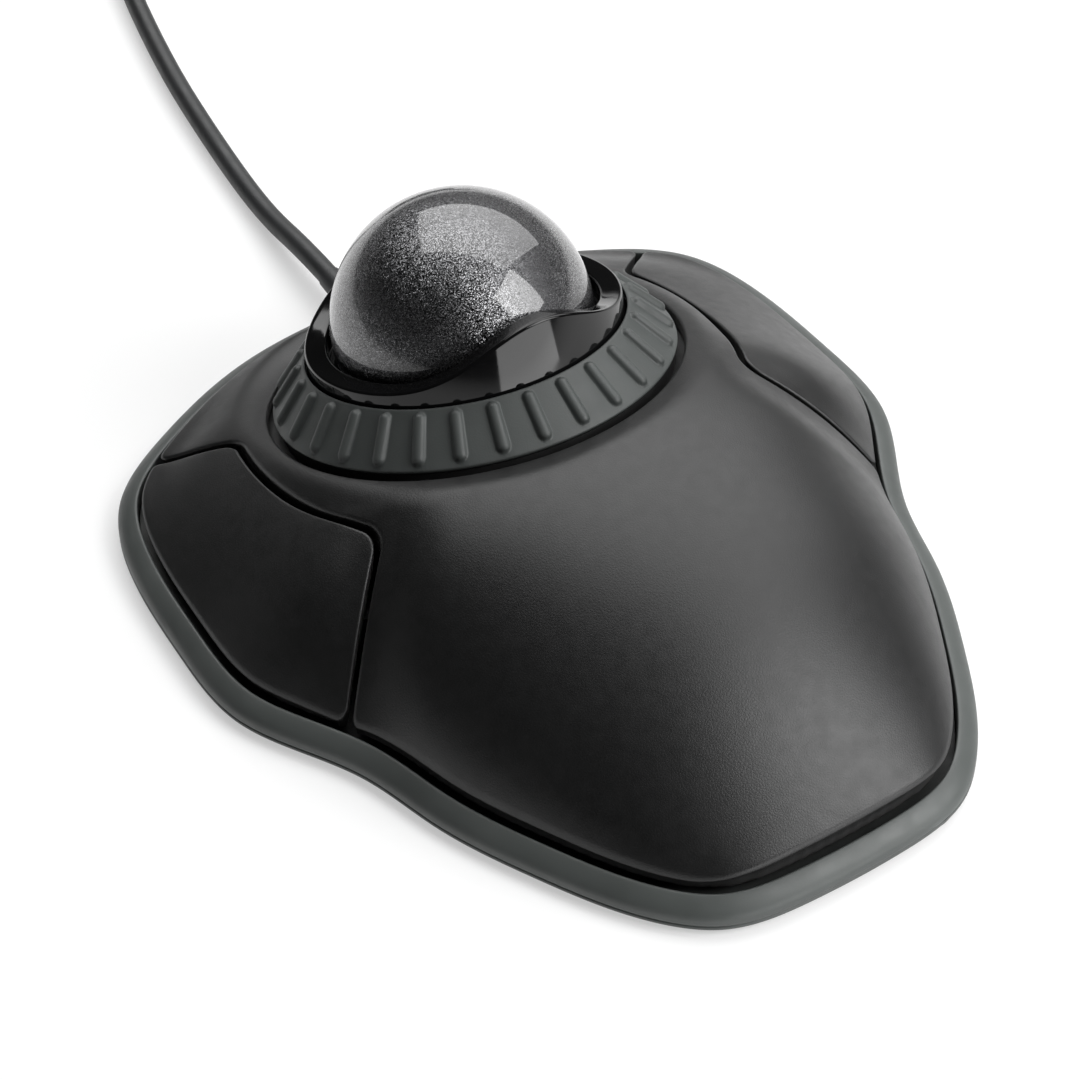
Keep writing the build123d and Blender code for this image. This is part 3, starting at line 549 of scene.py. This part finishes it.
def plate_mesh(name, loops, lip_depths, material):
    """A moulded cover: rounded edges, lips turned down at its borders, and a hollow underside.

    lip_depths has a function for each loop, which gives the lip's lower end and its roll inwards."""
    places, faces, tops, bottoms = [], [], [], []
    for loop, lip in zip(loops, lip_depths):
        ways = inward(loop)
        count = len(loop)
        rings = []
        for k in range(edge_steps + 1):
            angle = math.pi / 2 * (1 - k / edge_steps)
            plan = loop + ways * edge_round * (1 - math.cos(angle))
            z = casing_height(plan[:, 0], plan[:, 1]) - edge_round * (1 - math.sin(angle))
            rings.append(np.column_stack([plan, z]))
        low, roll = lip(loop, rings[-1][:, 2])
        for share, in_share in lip_shares:
            plan = loop + ways * (roll * in_share)[:, None]
            z = rings[edge_steps][:, 2] * (1 - share) + low * share
            rings.append(np.column_stack([plan, z]))
        plan = loop + ways * lip_wall
        rings.append(np.column_stack([plan, low]))
        ceiling = np.maximum(inner_height(plan[:, 0], plan[:, 1]), low + ceiling_gap)
        rings.append(np.column_stack([plan, ceiling]))
        starts = []
        for ring in rings:
            starts.append(sum(len(p) for p in places))
            places.append(ring)
        for first, second in zip(starts, starts[1:]):
            faces += strip(second, first, count)
        tops.append((starts[0], rings[0][:, :2]))
        bottoms.append((starts[-1], rings[-1][:, :2]))
    caps = ((tops, grid_step, casing_height, False), (bottoms, inner_step, inner_height, True))
    for ends, step, height, flip in caps:
        extra, cap = filled([loop for _, loop in ends], step)
        table = np.concatenate([start + np.arange(len(loop)) for start, loop in ends]
                               + [sum(len(p) for p in places) + np.arange(len(extra))])
        z = height(extra[:, 0], extra[:, 1])
        if flip:
            z = np.maximum(z, shell_edge_z - ceiling_depth)
        places.append(np.column_stack([extra, z]))
        cap = table[cap]
        everything = np.vstack(places)
        a, b, c = (everything[cap[:, i]][:, :2] for i in range(3))
        wrong = (twice_area(a, b, c) < 0) != flip
        cap[wrong] = cap[wrong][:, ::-1]
        faces += cap.tolist()
    return new_mesh(name, np.vstack(places), faces, material)


def rim_mesh(name, loop, profile, material):
    """A closed profile carried round a closed loop."""
    ways = inward(loop)
    count = len(loop)
    places = [np.column_stack([loop + ways * inset, np.full(count, rim_bottom_z + z)])
              for inset, z in profile]
    faces = []
    for k in range(len(profile)):
        faces += strip(k * count, ((k + 1) % len(profile)) * count, count)
    return new_mesh(name, np.vstack(places), faces, material)


def ring_world(radius, turn, height):
    """Places round the ring's axis; turn 0 is to the right, and -90 degrees is at the user."""
    radius, turn, height = np.broadcast_arrays(radius, turn, height)
    return (ball_centre + (radius * np.cos(turn))[..., None] * ring_right
            + (radius * np.sin(turn))[..., None] * ring_forward + height[..., None] * ring_up)


def turned(name, radii, heights, material):
    """A closed profile round the ring's axis; radii and heights are (profile, turn) tables."""
    rows, count = radii.shape
    turn = np.linspace(0, 2 * math.pi, count, endpoint=False)
    places = ring_world(radii, turn[None], heights).reshape(-1, 3)
    faces = []
    for k in range(rows):
        faces += strip(k * count, ((k + 1) % rows) * count, count)
    return new_mesh(name, places, faces, material)


# ---------------------------------------------------------------- materials


class Finish:
    """A material and a short way to add nodes to it."""

    def __init__(self, name):
        self.material = bpy.data.materials.new(name)
        self.material.use_nodes = True
        self.tree = self.material.node_tree
        self.shader = self.tree.nodes["Principled BSDF"]
        self.place = self.add("ShaderNodeTexCoord").outputs["Object"]

    def add(self, kind, **values):
        node = self.tree.nodes.new(kind)
        for name, value in values.items():
            if name in node.inputs:
                node.inputs[name].default_value = value
            else:
                setattr(node, name, value)
        return node

    def link(self, source, target):
        self.tree.links.new(source, target)

    def set(self, **values):
        for name, value in values.items():
            self.shader.inputs[name.replace("_", " ")].default_value = value

    def noise(self, size, detail=2.0, roughness=0.5):
        """Noise with features of about size millimetres."""
        node = self.add("ShaderNodeTexNoise", Scale=1 / (size * MM), Detail=detail, Roughness=roughness)
        self.link(self.place, node.inputs["Vector"])
        return node.outputs["Fac"]

    def cells(self, size, feature="F1"):
        node = self.add("ShaderNodeTexVoronoi", Scale=1 / (size * MM), feature=feature)
        self.link(self.place, node.inputs["Vector"])
        return node

    def ranged(self, source, low, high, source_low=0.3, source_high=0.7):
        node = self.add("ShaderNodeMapRange")
        ends = {"From Min": source_low, "From Max": source_high, "To Min": low, "To Max": high}
        for name, value in ends.items():
            node.inputs[name].default_value = value
        self.link(source, node.inputs["Value"])
        return node.outputs["Result"]

    def colour_between(self, source, first, second):
        node = self.add("ShaderNodeMix", data_type="RGBA")
        self.link(source, node.inputs[0])
        ends = [socket for socket in node.inputs if socket.type == "RGBA"]
        for socket, colour in zip(ends, (first, second)):
            socket.default_value = (*colour, 1)
        return [socket for socket in node.outputs if socket.type == "RGBA"][0]

    def bump(self, source, depth, strength=1.0, below=None):
        """A bump of depth millimetres."""
        node = self.add("ShaderNodeBump", Strength=strength, Distance=depth * MM)
        self.link(source, node.inputs["Height"])
        if below is not None:
            self.link(below, node.inputs["Normal"])
        return node.outputs["Normal"]


def shade(colour, factor):
    return tuple(min(c * factor, 1.0) for c in colour)


def moulded(name, colour, roughness, grain=0.35, depth=0.02, spread=0.12, polish=0.06,
            metallic=0.0, specular=0.5):
    """Moulded plastic, rubber or plain metal: fine grain, and slightly uneven colour and gloss."""
    f = Finish(name)
    f.set(Metallic=metallic, Specular_IOR_Level=specular)
    broad = f.noise(14.0, 3.0)
    darker, lighter = shade(colour, 1 - spread), shade(colour, 1 + spread)
    f.link(f.colour_between(f.ranged(broad, 0, 1), darker, lighter), f.shader.inputs["Base Color"])
    gloss = f.ranged(f.noise(3.0, 4.0), roughness - polish, roughness + polish)
    f.link(gloss, f.shader.inputs["Roughness"])
    f.link(f.bump(f.noise(grain, 3.0, 0.6), depth), f.shader.inputs["Normal"])
    return f.material


def soft_touch():
    """Black soft-touch skin with a very fine leather grain."""
    f = Finish("soft_touch_black")
    f.set(Specular_IOR_Level=0.5, Sheen_Weight=0.05, Sheen_Roughness=0.4)
    broad = f.ranged(f.noise(20.0, 3.0), 0, 1)
    tint = f.colour_between(broad, (0.0052, 0.0053, 0.0054), (0.0070, 0.0071, 0.0072))
    f.link(tint, f.shader.inputs["Base Color"])
    f.link(f.ranged(f.noise(2.0, 4.0), 0.38, 0.44), f.shader.inputs["Roughness"])
    hide = f.cells(0.42, "DISTANCE_TO_EDGE")
    creases = f.ranged(hide.outputs["Distance"], 0, 1, 0.0, 0.25)
    fine = f.bump(f.noise(0.16, 2.0, 0.6), 0.010, 0.7)
    f.link(f.bump(creases, 0.010, 0.8, fine), f.shader.inputs["Normal"])
    return f.material


def flake_paint():
    """Dark metallic flake under clear gloss, for the ball."""
    f = Finish("ball_flake")
    f.set(Metallic=0.92, Coat_Weight=1.0, Coat_Roughness=0.02, Coat_IOR=1.5, Roughness=0.34)
    flakes = f.cells(0.11)
    apart = f.add("ShaderNodeSeparateColor")
    f.link(flakes.outputs["Color"], apart.inputs["Color"])
    glint = f.add("ShaderNodeMath", operation="POWER")
    glint.inputs[1].default_value = 2.4
    f.link(apart.outputs["Red"], glint.inputs[0])
    tint = f.colour_between(glint.outputs["Value"], (0.022, 0.022, 0.023), (0.34, 0.34, 0.35))
    f.link(tint, f.shader.inputs["Base Color"])
    shift = f.add("ShaderNodeVectorMath", operation="SUBTRACT")
    shift.inputs[1].default_value = (0.5, 0.5, 0.5)
    f.link(flakes.outputs["Color"], shift.inputs[0])
    size = f.add("ShaderNodeVectorMath", operation="SCALE")
    size.inputs["Scale"].default_value = 0.55
    f.link(shift.outputs["Vector"], size.inputs["Vector"])
    surface = f.add("ShaderNodeNewGeometry")
    tilt = f.add("ShaderNodeVectorMath", operation="ADD")
    f.link(surface.outputs["Normal"], tilt.inputs[0])
    f.link(size.outputs["Vector"], tilt.inputs[1])
    unit = f.add("ShaderNodeVectorMath", operation="NORMALIZE")
    f.link(tilt.outputs["Vector"], unit.inputs[0])
    f.link(unit.outputs["Vector"], f.shader.inputs["Normal"])
    return f.material


def circuit_board():
    """Green solder mask over faint copper tracks."""
    f = Finish("board_green")
    f.set(Roughness=0.35, Coat_Weight=0.3)
    tracks = f.add("ShaderNodeTexBrick", Scale=260.0)
    f.link(f.place, tracks.inputs["Vector"])
    for name, colour in (("Color1", (0.010, 0.075, 0.030)), ("Color2", (0.014, 0.095, 0.040)),
                         ("Mortar", (0.022, 0.130, 0.055))):
        tracks.inputs[name].default_value = (*colour, 1)
    tracks.inputs["Mortar Size"].default_value = 0.06
    f.link(tracks.outputs["Color"], f.shader.inputs["Base Color"])
    f.link(f.bump(tracks.outputs["Fac"], 0.03, 0.5), f.shader.inputs["Normal"])
    return f.material


def clear_lens():
    f = Finish("lens_clear")
    f.set(Base_Color=(0.95, 0.97, 1.0, 1), IOR=1.49, Transmission_Weight=0.95)
    f.link(f.ranged(f.noise(1.5), 0.02, 0.06), f.shader.inputs["Roughness"])
    return f.material


black_skin = soft_touch()
finishes = {
    "soft": black_skin,
    "rim": moulded("rim_grey", (0.068, 0.075, 0.072), 0.46, 0.30, 0.012),
    "base": moulded("base_black", (0.022, 0.024, 0.023), 0.55, 0.5, 0.03),
    "foot": moulded("foot_rubber", (0.045, 0.045, 0.046), 0.8, 0.25, 0.03),
    "steel": moulded("screw_steel", (0.45, 0.45, 0.46), 0.32, 0.15, 0.006, metallic=1.0),
    "pin": moulded("pin_steel", (0.55, 0.55, 0.56), 0.22, 0.1, 0.003, metallic=1.0),
    "ball": flake_paint(),
    "cup": moulded("cup_black", (0.008, 0.008, 0.008), 0.38, 0.4, 0.01),
    "bearing": moulded("bearing_white", (0.78, 0.76, 0.72), 0.18, 0.3, 0.003, spread=0.03),
    "gloss": moulded("gloss_black", (0.0040, 0.0040, 0.0042), 0.07, 2.5, 0.002, polish=0.02,
                     specular=0.35),
    "ring": moulded("ring_rubber", (0.056, 0.062, 0.060), 0.52, 0.28, 0.02),
    "carrier": moulded("carrier_black", (0.014, 0.014, 0.014), 0.42, 0.4, 0.015),
    "sensor": moulded("sensor_black", (0.02, 0.02, 0.022), 0.4, 0.3, 0.01),
    "board": circuit_board(),
    "lens": clear_lens(),
    "chip": moulded("chip_black", (0.018, 0.018, 0.019), 0.5, 0.2, 0.015),
    "component": moulded("component_tan", (0.32, 0.22, 0.13), 0.4, 0.3, 0.01),
    "connector": moulded("connector_white", (0.72, 0.70, 0.64), 0.45, 0.4, 0.01, spread=0.05),
    "wire": moulded("wire_red", (0.42, 0.03, 0.025), 0.42, 0.3, 0.01),
    "switch": moulded("switch_black", (0.016, 0.016, 0.017), 0.45, 0.3, 0.012),
    "plunger": moulded("plunger_white", (0.74, 0.73, 0.70), 0.4, 0.3, 0.008, spread=0.05),
    "cable": moulded("cable_black", (0.020, 0.021, 0.022), 0.48, 0.5, 0.02),
    "tie": moulded("tie_black", (0.014, 0.014, 0.015), 0.75, 0.3, 0.10),
    "plug_metal": moulded("plug_metal", (0.62, 0.62, 0.63), 0.28, 0.2, 0.004, metallic=1.0),
    "plug_white": moulded("plug_white", (0.76, 0.76, 0.74), 0.45, 0.4, 0.01, spread=0.04),
}

node_finishes = {
    "upper_shell": "soft", "left_button": "soft", "right_button": "soft", "rim_bumper": "rim",
    "left_hinge_pin": "pin", "right_hinge_pin": "pin", "base_plate": "base", "feet": "foot",
    "case_screws": "steel", "cup_screws": "steel", "board_screws": "steel", "ball": "ball",
    "ball_cup": "cup", "ball_bearings": "bearing", "collar_bezel": "gloss", "scroll_ring_sleeve": "ring",
    "scroll_ring_carrier": "carrier", "ring_encoder": "sensor", "encoder_board": "board",
    "sensor_lens": "lens", "sensor_chip": "chip", "sensor_board": "board", "main_board": "board",
    "controller_chip": "chip", "board_components": "component", "cable_connector": "connector",
    "cable_wires": "wire", "left_switch": "switch", "right_switch": "switch",
    "left_switch_plunger": "plunger", "right_switch_plunger": "plunger", "strain_relief": "cable",
    "cable_lead": "cable", "cable_coil": "cable", "coil_tie": "tie", "cable_tail": "cable",
    "plug_body": "cable", "plug_shell": "plug_metal", "plug_tongue": "plug_white",
}
for node, finish in node_finishes.items():
    slots = frame["nodes"][node].data.materials
    slots.clear()
    slots.append(finishes[finish])

# ---------------------------------------------------------------- camera
camera_azimuth = math.radians(-32.97)
camera_elevation = math.radians(46.39)
camera_distance = 486.3
camera_target = Vector((-1.28, 10.31, 0.0)) * MM
camera_back = Vector((math.sin(camera_azimuth) * math.cos(camera_elevation),
                      -math.cos(camera_azimuth) * math.cos(camera_elevation),
                      math.sin(camera_elevation)))
camera_data = bpy.data.cameras.new("camera")
camera_data.lens = 106.9
camera_data.sensor_width = 36.0
camera_data.clip_start = 0.01
camera = bpy.data.objects.new("camera", camera_data)
bpy.context.scene.collection.objects.link(camera)
camera.location = camera_target + camera_back * camera_distance * MM
camera.rotation_mode = "QUATERNION"
camera.rotation_quaternion = (-camera_back).to_track_quat("-Z", "Y")
bpy.context.scene.camera = camera

# ---------------------------------------------------------------- cord
cable_radius = 1.8
relief_front_gap = 0.4
relief_length = 6.5
relief_tip_y = half_length + relief_front_gap + relief_length
cable_exit_z = 4.2
coil_lift = 0.8
coil_turn_pitch = 3.66
coil_mean_radius = 20.4
coil_turns_whole = 10
points_a_turn = 16
coil_step_turns = 0.6

lead_route = [
    (0, relief_tip_y, cable_exit_z), (0, 83, cable_exit_z), (0.2, 97, 1.9), (1.8, 116, 1.9),
    (5.2, 142, 1.9), (13, 176, 1.9), (29, 209, coil_lift + cable_radius),
]
arrival = (Vector(lead_route[-1]) - Vector(lead_route[-2])).normalized()
start_turn = math.atan2(arrival.x, -arrival.y)
coil_turns = coil_turns_whole + (start_turn - math.pi / 2) / (2 * math.pi)
coil_outer = coil_mean_radius + coil_turn_pitch * coil_turns / 4
coil_centre = Vector(lead_route[-1]) + Vector((arrival.y, -arrival.x, 0)) * coil_outer
tail_route = [(70, 227.4, 4.7), (84, 226.2, 4.1), (100, 222.8, 4.1)]


def coil_points():
    """Two layers of turns, inwards below and outwards above, run clockwise."""
    low = coil_lift + cable_radius
    rise = coil_turn_pitch
    total = int(round(coil_turns * points_a_turn))
    reach = 1 / math.cos(math.pi / points_a_turn)
    points = []
    for i in range(1, total + 1):
        t = i / total * coil_turns
        from_middle = t - coil_turns / 2
        radius = (coil_outer - coil_turn_pitch * (coil_turns / 2 - abs(from_middle))) * reach
        turn = start_turn - 2 * math.pi * t
        z = low + rise * float(smooth_step(from_middle / coil_step_turns + 0.5))
        points.append((coil_centre.x + radius * math.cos(turn),
                       coil_centre.y + radius * math.sin(turn), z))
    return points


def make_cord():
    points = lead_route + coil_points() + tail_route
    curve = bpy.data.curves.new("cable", "CURVE")
    curve.dimensions = "3D"
    curve.bevel_depth = cable_radius * MM
    curve.bevel_resolution = 8
    curve.resolution_u = 6
    curve.use_fill_caps = True
    spline = curve.splines.new("NURBS")
    spline.points.add(len(points) - 1)
    for point, place in zip(spline.points, points):
        point.co = (place[0] * MM, place[1] * MM, place[2] * MM, 1)
    spline.order_u = 3
    spline.use_endpoint_u = True
    cord = bpy.data.objects.new("cable", curve)
    bpy.context.scene.collection.objects.link(cord)
    curve.materials.append(finishes["cable"])
    return cord


cord = make_cord()
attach(cord, "housing")
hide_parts("cable_lead", "cable_coil", "cable_tail")

# ---------------------------------------------------------------- casing pieces
border_reach = 0.6
border_lip_depth = 2.2
border_roll = 1.15
seam_lip_depth = 3.4
seam_roll = 0.12
hole_lip_depth = 1.6
hole_roll = 0.1


def smoothed(values, reach):
    """A loop of values averaged along the loop."""
    kernel = np.ones(2 * reach + 1) / (2 * reach + 1)
    return np.convolve(np.concatenate([values[-reach:], values, values[:reach]]), kernel, "valid")


def border_lip(loop, top):
    """Outer borders roll under to just above the base, and seam borders hang a straight lip."""
    gap = np.array([np.linalg.norm(cover_edge - p, axis=1).min() for p in loop])
    outer = smoothed(np.clip(1 - gap / border_reach, 0, 1), 3)
    lowest = shell_edge_z - border_lip_depth
    low = outer * lowest + (1 - outer) * np.maximum(top - seam_lip_depth, lowest)
    roll = outer * border_roll + (1 - outer) * seam_roll
    return low, roll


def hole_lip(loop, top):
    return top - hole_lip_depth, np.full(len(loop), hole_roll)


right_button_loop = button_loop()
pieces = {
    "upper_shell": plate_mesh("upper_shell_cover", [shell_loop(), hole_loop()],
                              [border_lip, hole_lip], black_skin),
    "right_button": plate_mesh("right_button_cap", [right_button_loop], [border_lip], black_skin),
    "left_button": plate_mesh("left_button_cap", [mirrored(right_button_loop)],
                              [border_lip], black_skin),
}

# (inset, height over the rim's lower edge): a lip over the base's edge, a parting line, the slope
rim_profile = [
    (0.35, 0.0), (0.35, -0.50), (0.27, -0.60), (0.08, -0.60), (0.0, -0.52), (0.0, -0.02), (0.24, 0.05),
    (0.24, 0.20), (0.0, 0.28), (0.0, 0.60), (0.02, 0.92), (0.05, 1.2), (0.14, 1.45), (0.34, 1.80),
    (0.62, 2.14), (1.00, 2.48), (1.45, 2.80), (1.95, 3.10), (2.40, 3.32), (2.72, 3.45), (2.92, 3.495),
    (3.06, 3.47), (3.16, 3.37), (3.20, 3.2), (3.20, 1.5), (3.20, 0.0),
]
pieces["rim_bumper"] = rim_mesh("rim_bumper_skin", outline, rim_profile, finishes["rim"])


collar_points = 480
collar_edge = 0.45
collar_edge_steps = 7
collar_wall = 2.0
collar_core_share = 0.6


def collar_mesh():
    """The gloss collar: a wall of changing height with a flat top and rounded edges."""
    count = collar_points
    turn = np.linspace(0, 2 * math.pi, count, endpoint=False)

    def top(radius):
        y = radius * np.sin(turn)
        facing = -y / np.maximum(radius, collar_core_share * ball_radius)
        return (collar_side_h + collar_lobe * ((1 + facing) / 2) ** collar_lobe_power
                + collar_back_lobe * ((1 - facing) / 2) ** collar_back_power)

    rows = [(np.full(count, collar_bore), np.full(count, cup_rim_h)),
            (np.full(count, collar_bore), np.full(count, cup_rim_h + 1.5))]
    edge, steps = collar_edge, collar_edge_steps
    for k in range(steps + 1):
        angle = math.pi / 2 * k / steps
        radius = collar_bore + edge * (1 - math.cos(angle))
        height = top(collar_bore + edge) - edge * (1 - math.sin(angle))
        rows.append((np.full(count, radius), height))
    for share in (0.25, 0.5, 0.75):
        radius = collar_bore + edge + (collar_radius - collar_bore - 2 * edge) * share
        rows.append((np.full(count, radius), top(radius)))
    for k in range(steps + 1):
        angle = math.pi / 2 * (1 - k / steps)
        radius = collar_radius - edge * (1 - math.cos(angle))
        height = top(collar_radius - edge) - edge * (1 - math.sin(angle))
        rows.append((np.full(count, radius), height))
    for h in (-2.0, -4.0, -8.0, cup_flange_h):
        rows.append((np.full(count, collar_radius), np.full(count, h)))
    inner = collar_bore + collar_wall
    rows.append((np.full(count, inner), np.full(count, cup_flange_h)))
    rows.append((np.full(count, inner), np.full(count, cup_rim_h)))
    radii, heights = (np.array(table) for table in zip(*rows[::-1]))
    return turned("collar_bezel_skin", radii, heights, finishes["gloss"])


pieces["collar_bezel"] = collar_mesh()

rib_half_width = 0.98
rib_height = 0.85
rib_start = 0.10
rib_end = 0.93
points_a_rib = 36
sleeve_rows = 46
sleeve_edge = 0.35


def sleeve_mesh():
    """The rubber ring: a cone with round-ended ribs that grow out of it."""
    count = rib_count * points_a_rib
    turn = np.linspace(0, 2 * math.pi, count, endpoint=False)
    low = np.array([ring_edge_radius, ring_edge_h])
    high = np.array([ring_top_radius, ring_top_h])
    way = (high - low) / np.linalg.norm(high - low)
    outward = np.array([way[1], -way[0]])
    length = np.linalg.norm(high - low)
    edge = sleeve_edge
    rows = []

    def ridge(s, radius):
        """Height of the ribs at run s up the cone."""
        pitch = 2 * math.pi / rib_count
        off = (turn - rib_first_angle + pitch / 2) % pitch - pitch / 2
        across = abs(off) * radius
        start = rib_start * length + rib_half_width
        end = rib_end * length - rib_half_width
        beyond = np.maximum(np.maximum(start - s, s - end), 0)
        gap = np.sqrt(across ** 2 + beyond ** 2)
        return rib_height * np.sqrt(np.clip(1 - (gap / rib_half_width) ** 2, 0, 1))

    def row(point):
        return np.full(count, point[0]), np.full(count, point[1])

    under_low = low - outward * sleeve_thickness
    under_high = high - outward * sleeve_thickness
    under_high = under_high + way * (ring_top_radius - under_high[0]) / way[0]
    rows.append(row(under_low + outward * 0.1))
    for k in range(1, 6):
        angle = math.pi / 2 * k / 6
        rows.append(row(low + way * edge * (1 - math.cos(angle))
                        - outward * edge * (1 - math.sin(angle))))
    for s in np.linspace(edge, length - edge, sleeve_rows):
        point = low + way * s
        lift = ridge(s, point[0])
        rows.append((point[0] + outward[0] * lift, point[1] + outward[1] * lift))
    for k in range(1, 6):
        angle = math.pi / 2 * k / 6
        rows.append(row(high - way * edge * (1 - math.sin(angle))
                        - outward * edge * (1 - math.cos(angle))))
    rows.append(row(under_high))
    radii, heights = (np.array(table) for table in zip(*rows))
    return turned("scroll_ring_grip", radii, heights, finishes["ring"])


pieces["scroll_ring_sleeve"] = sleeve_mesh()

bodies = frame["record"]["behaviour"]["bodies"]
node_body = {node: body for body, members in bodies.items() for node in members}
for node, piece in pieces.items():
    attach(piece, node_body[node])
    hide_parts(node)

# ---------------------------------------------------------------- floor and light
# the floor is white round the part and darkens further out, a painted pool of light, and it glows with painted
# light besides the lamps
floor_size_m = 6.0
lit_floor_mm = 210.0
dark_floor_mm = 750.0
lit_floor_tone = 0.52
dark_floor_tone = 0.08
# painted light: the floor's glow near the part and far out
near_floor_painted_light = 0.48
far_floor_painted_light = 0.05
studio_strength = 0.02
lamp_aim = Vector((0, 0.01, 0.02))

# each lamp's name, way from the part, distance, width and height in metres, and power in watts
lamps = (
    ("key", (0.507, -0.604, 0.616), 0.6, 0.34, 0.40, 3.0),
    ("low_card", (0.21, -0.97, 0.02), 0.25, 0.21, 0.06, 0.17),
    ("top", (0.44, 0.44, 0.78), 1.0, 1.4, 1.1, 15.0),
)


def floor_sheet():
    """A matt white floor with painted light: it glows, and its colour and glow fade from the part outwards as a
    painted pool of light.
    """
    bpy.ops.mesh.primitive_plane_add(size=floor_size_m)
    floor = bpy.context.object
    floor.name = "floor"
    paint = Finish("floor_white")
    paint.set(Roughness=0.9, Specular_IOR_Level=0.1, Emission_Color=(1, 1, 1, 1))
    away = paint.add("ShaderNodeVectorMath", operation="LENGTH")
    paint.link(paint.place, away.inputs[0])
    # painted pool of light: the floor's colour and glow fall from bright near the part to dark further out
    painted_light_falloff = paint.ranged(away.outputs["Value"], 0, 1, lit_floor_mm * MM, dark_floor_mm * MM)
    tint = paint.colour_between(painted_light_falloff, (lit_floor_tone,) * 3, (dark_floor_tone,) * 3)
    paint.link(tint, paint.shader.inputs["Base Color"])
    # painted light: the floor glows, most round the part
    painted_floor_light = paint.ranged(painted_light_falloff, near_floor_painted_light, far_floor_painted_light, 0, 1)
    paint.link(painted_floor_light, paint.shader.inputs["Emission Strength"])
    floor.data.materials.append(paint.material)


def softbox(name, way, distance, width, height, power):
    """A rectangular lamp that faces the part."""
    data = bpy.data.lights.new(name, "AREA")
    data.shape = "RECTANGLE"
    data.size, data.size_y = width, height
    data.energy = power
    lamp = bpy.data.objects.new(name, data)
    bpy.context.scene.collection.objects.link(lamp)
    way = Vector(way).normalized()
    lamp.location = lamp_aim + way * distance
    lamp.rotation_mode = "QUATERNION"
    lamp.rotation_quaternion = way.to_track_quat("Z", "Y")


def dim_studio():
    """An even, faint light from all round."""
    world = bpy.data.worlds.new("studio")
    world.use_nodes = True
    back = world.node_tree.nodes["Background"]
    back.inputs["Color"].default_value = (1, 1, 1, 1)
    back.inputs["Strength"].default_value = studio_strength
    bpy.context.scene.world = world
    bpy.context.scene.view_settings.view_transform = "Standard"


floor_sheet()
for lamp in lamps:
    softbox(*lamp)
dim_studio()
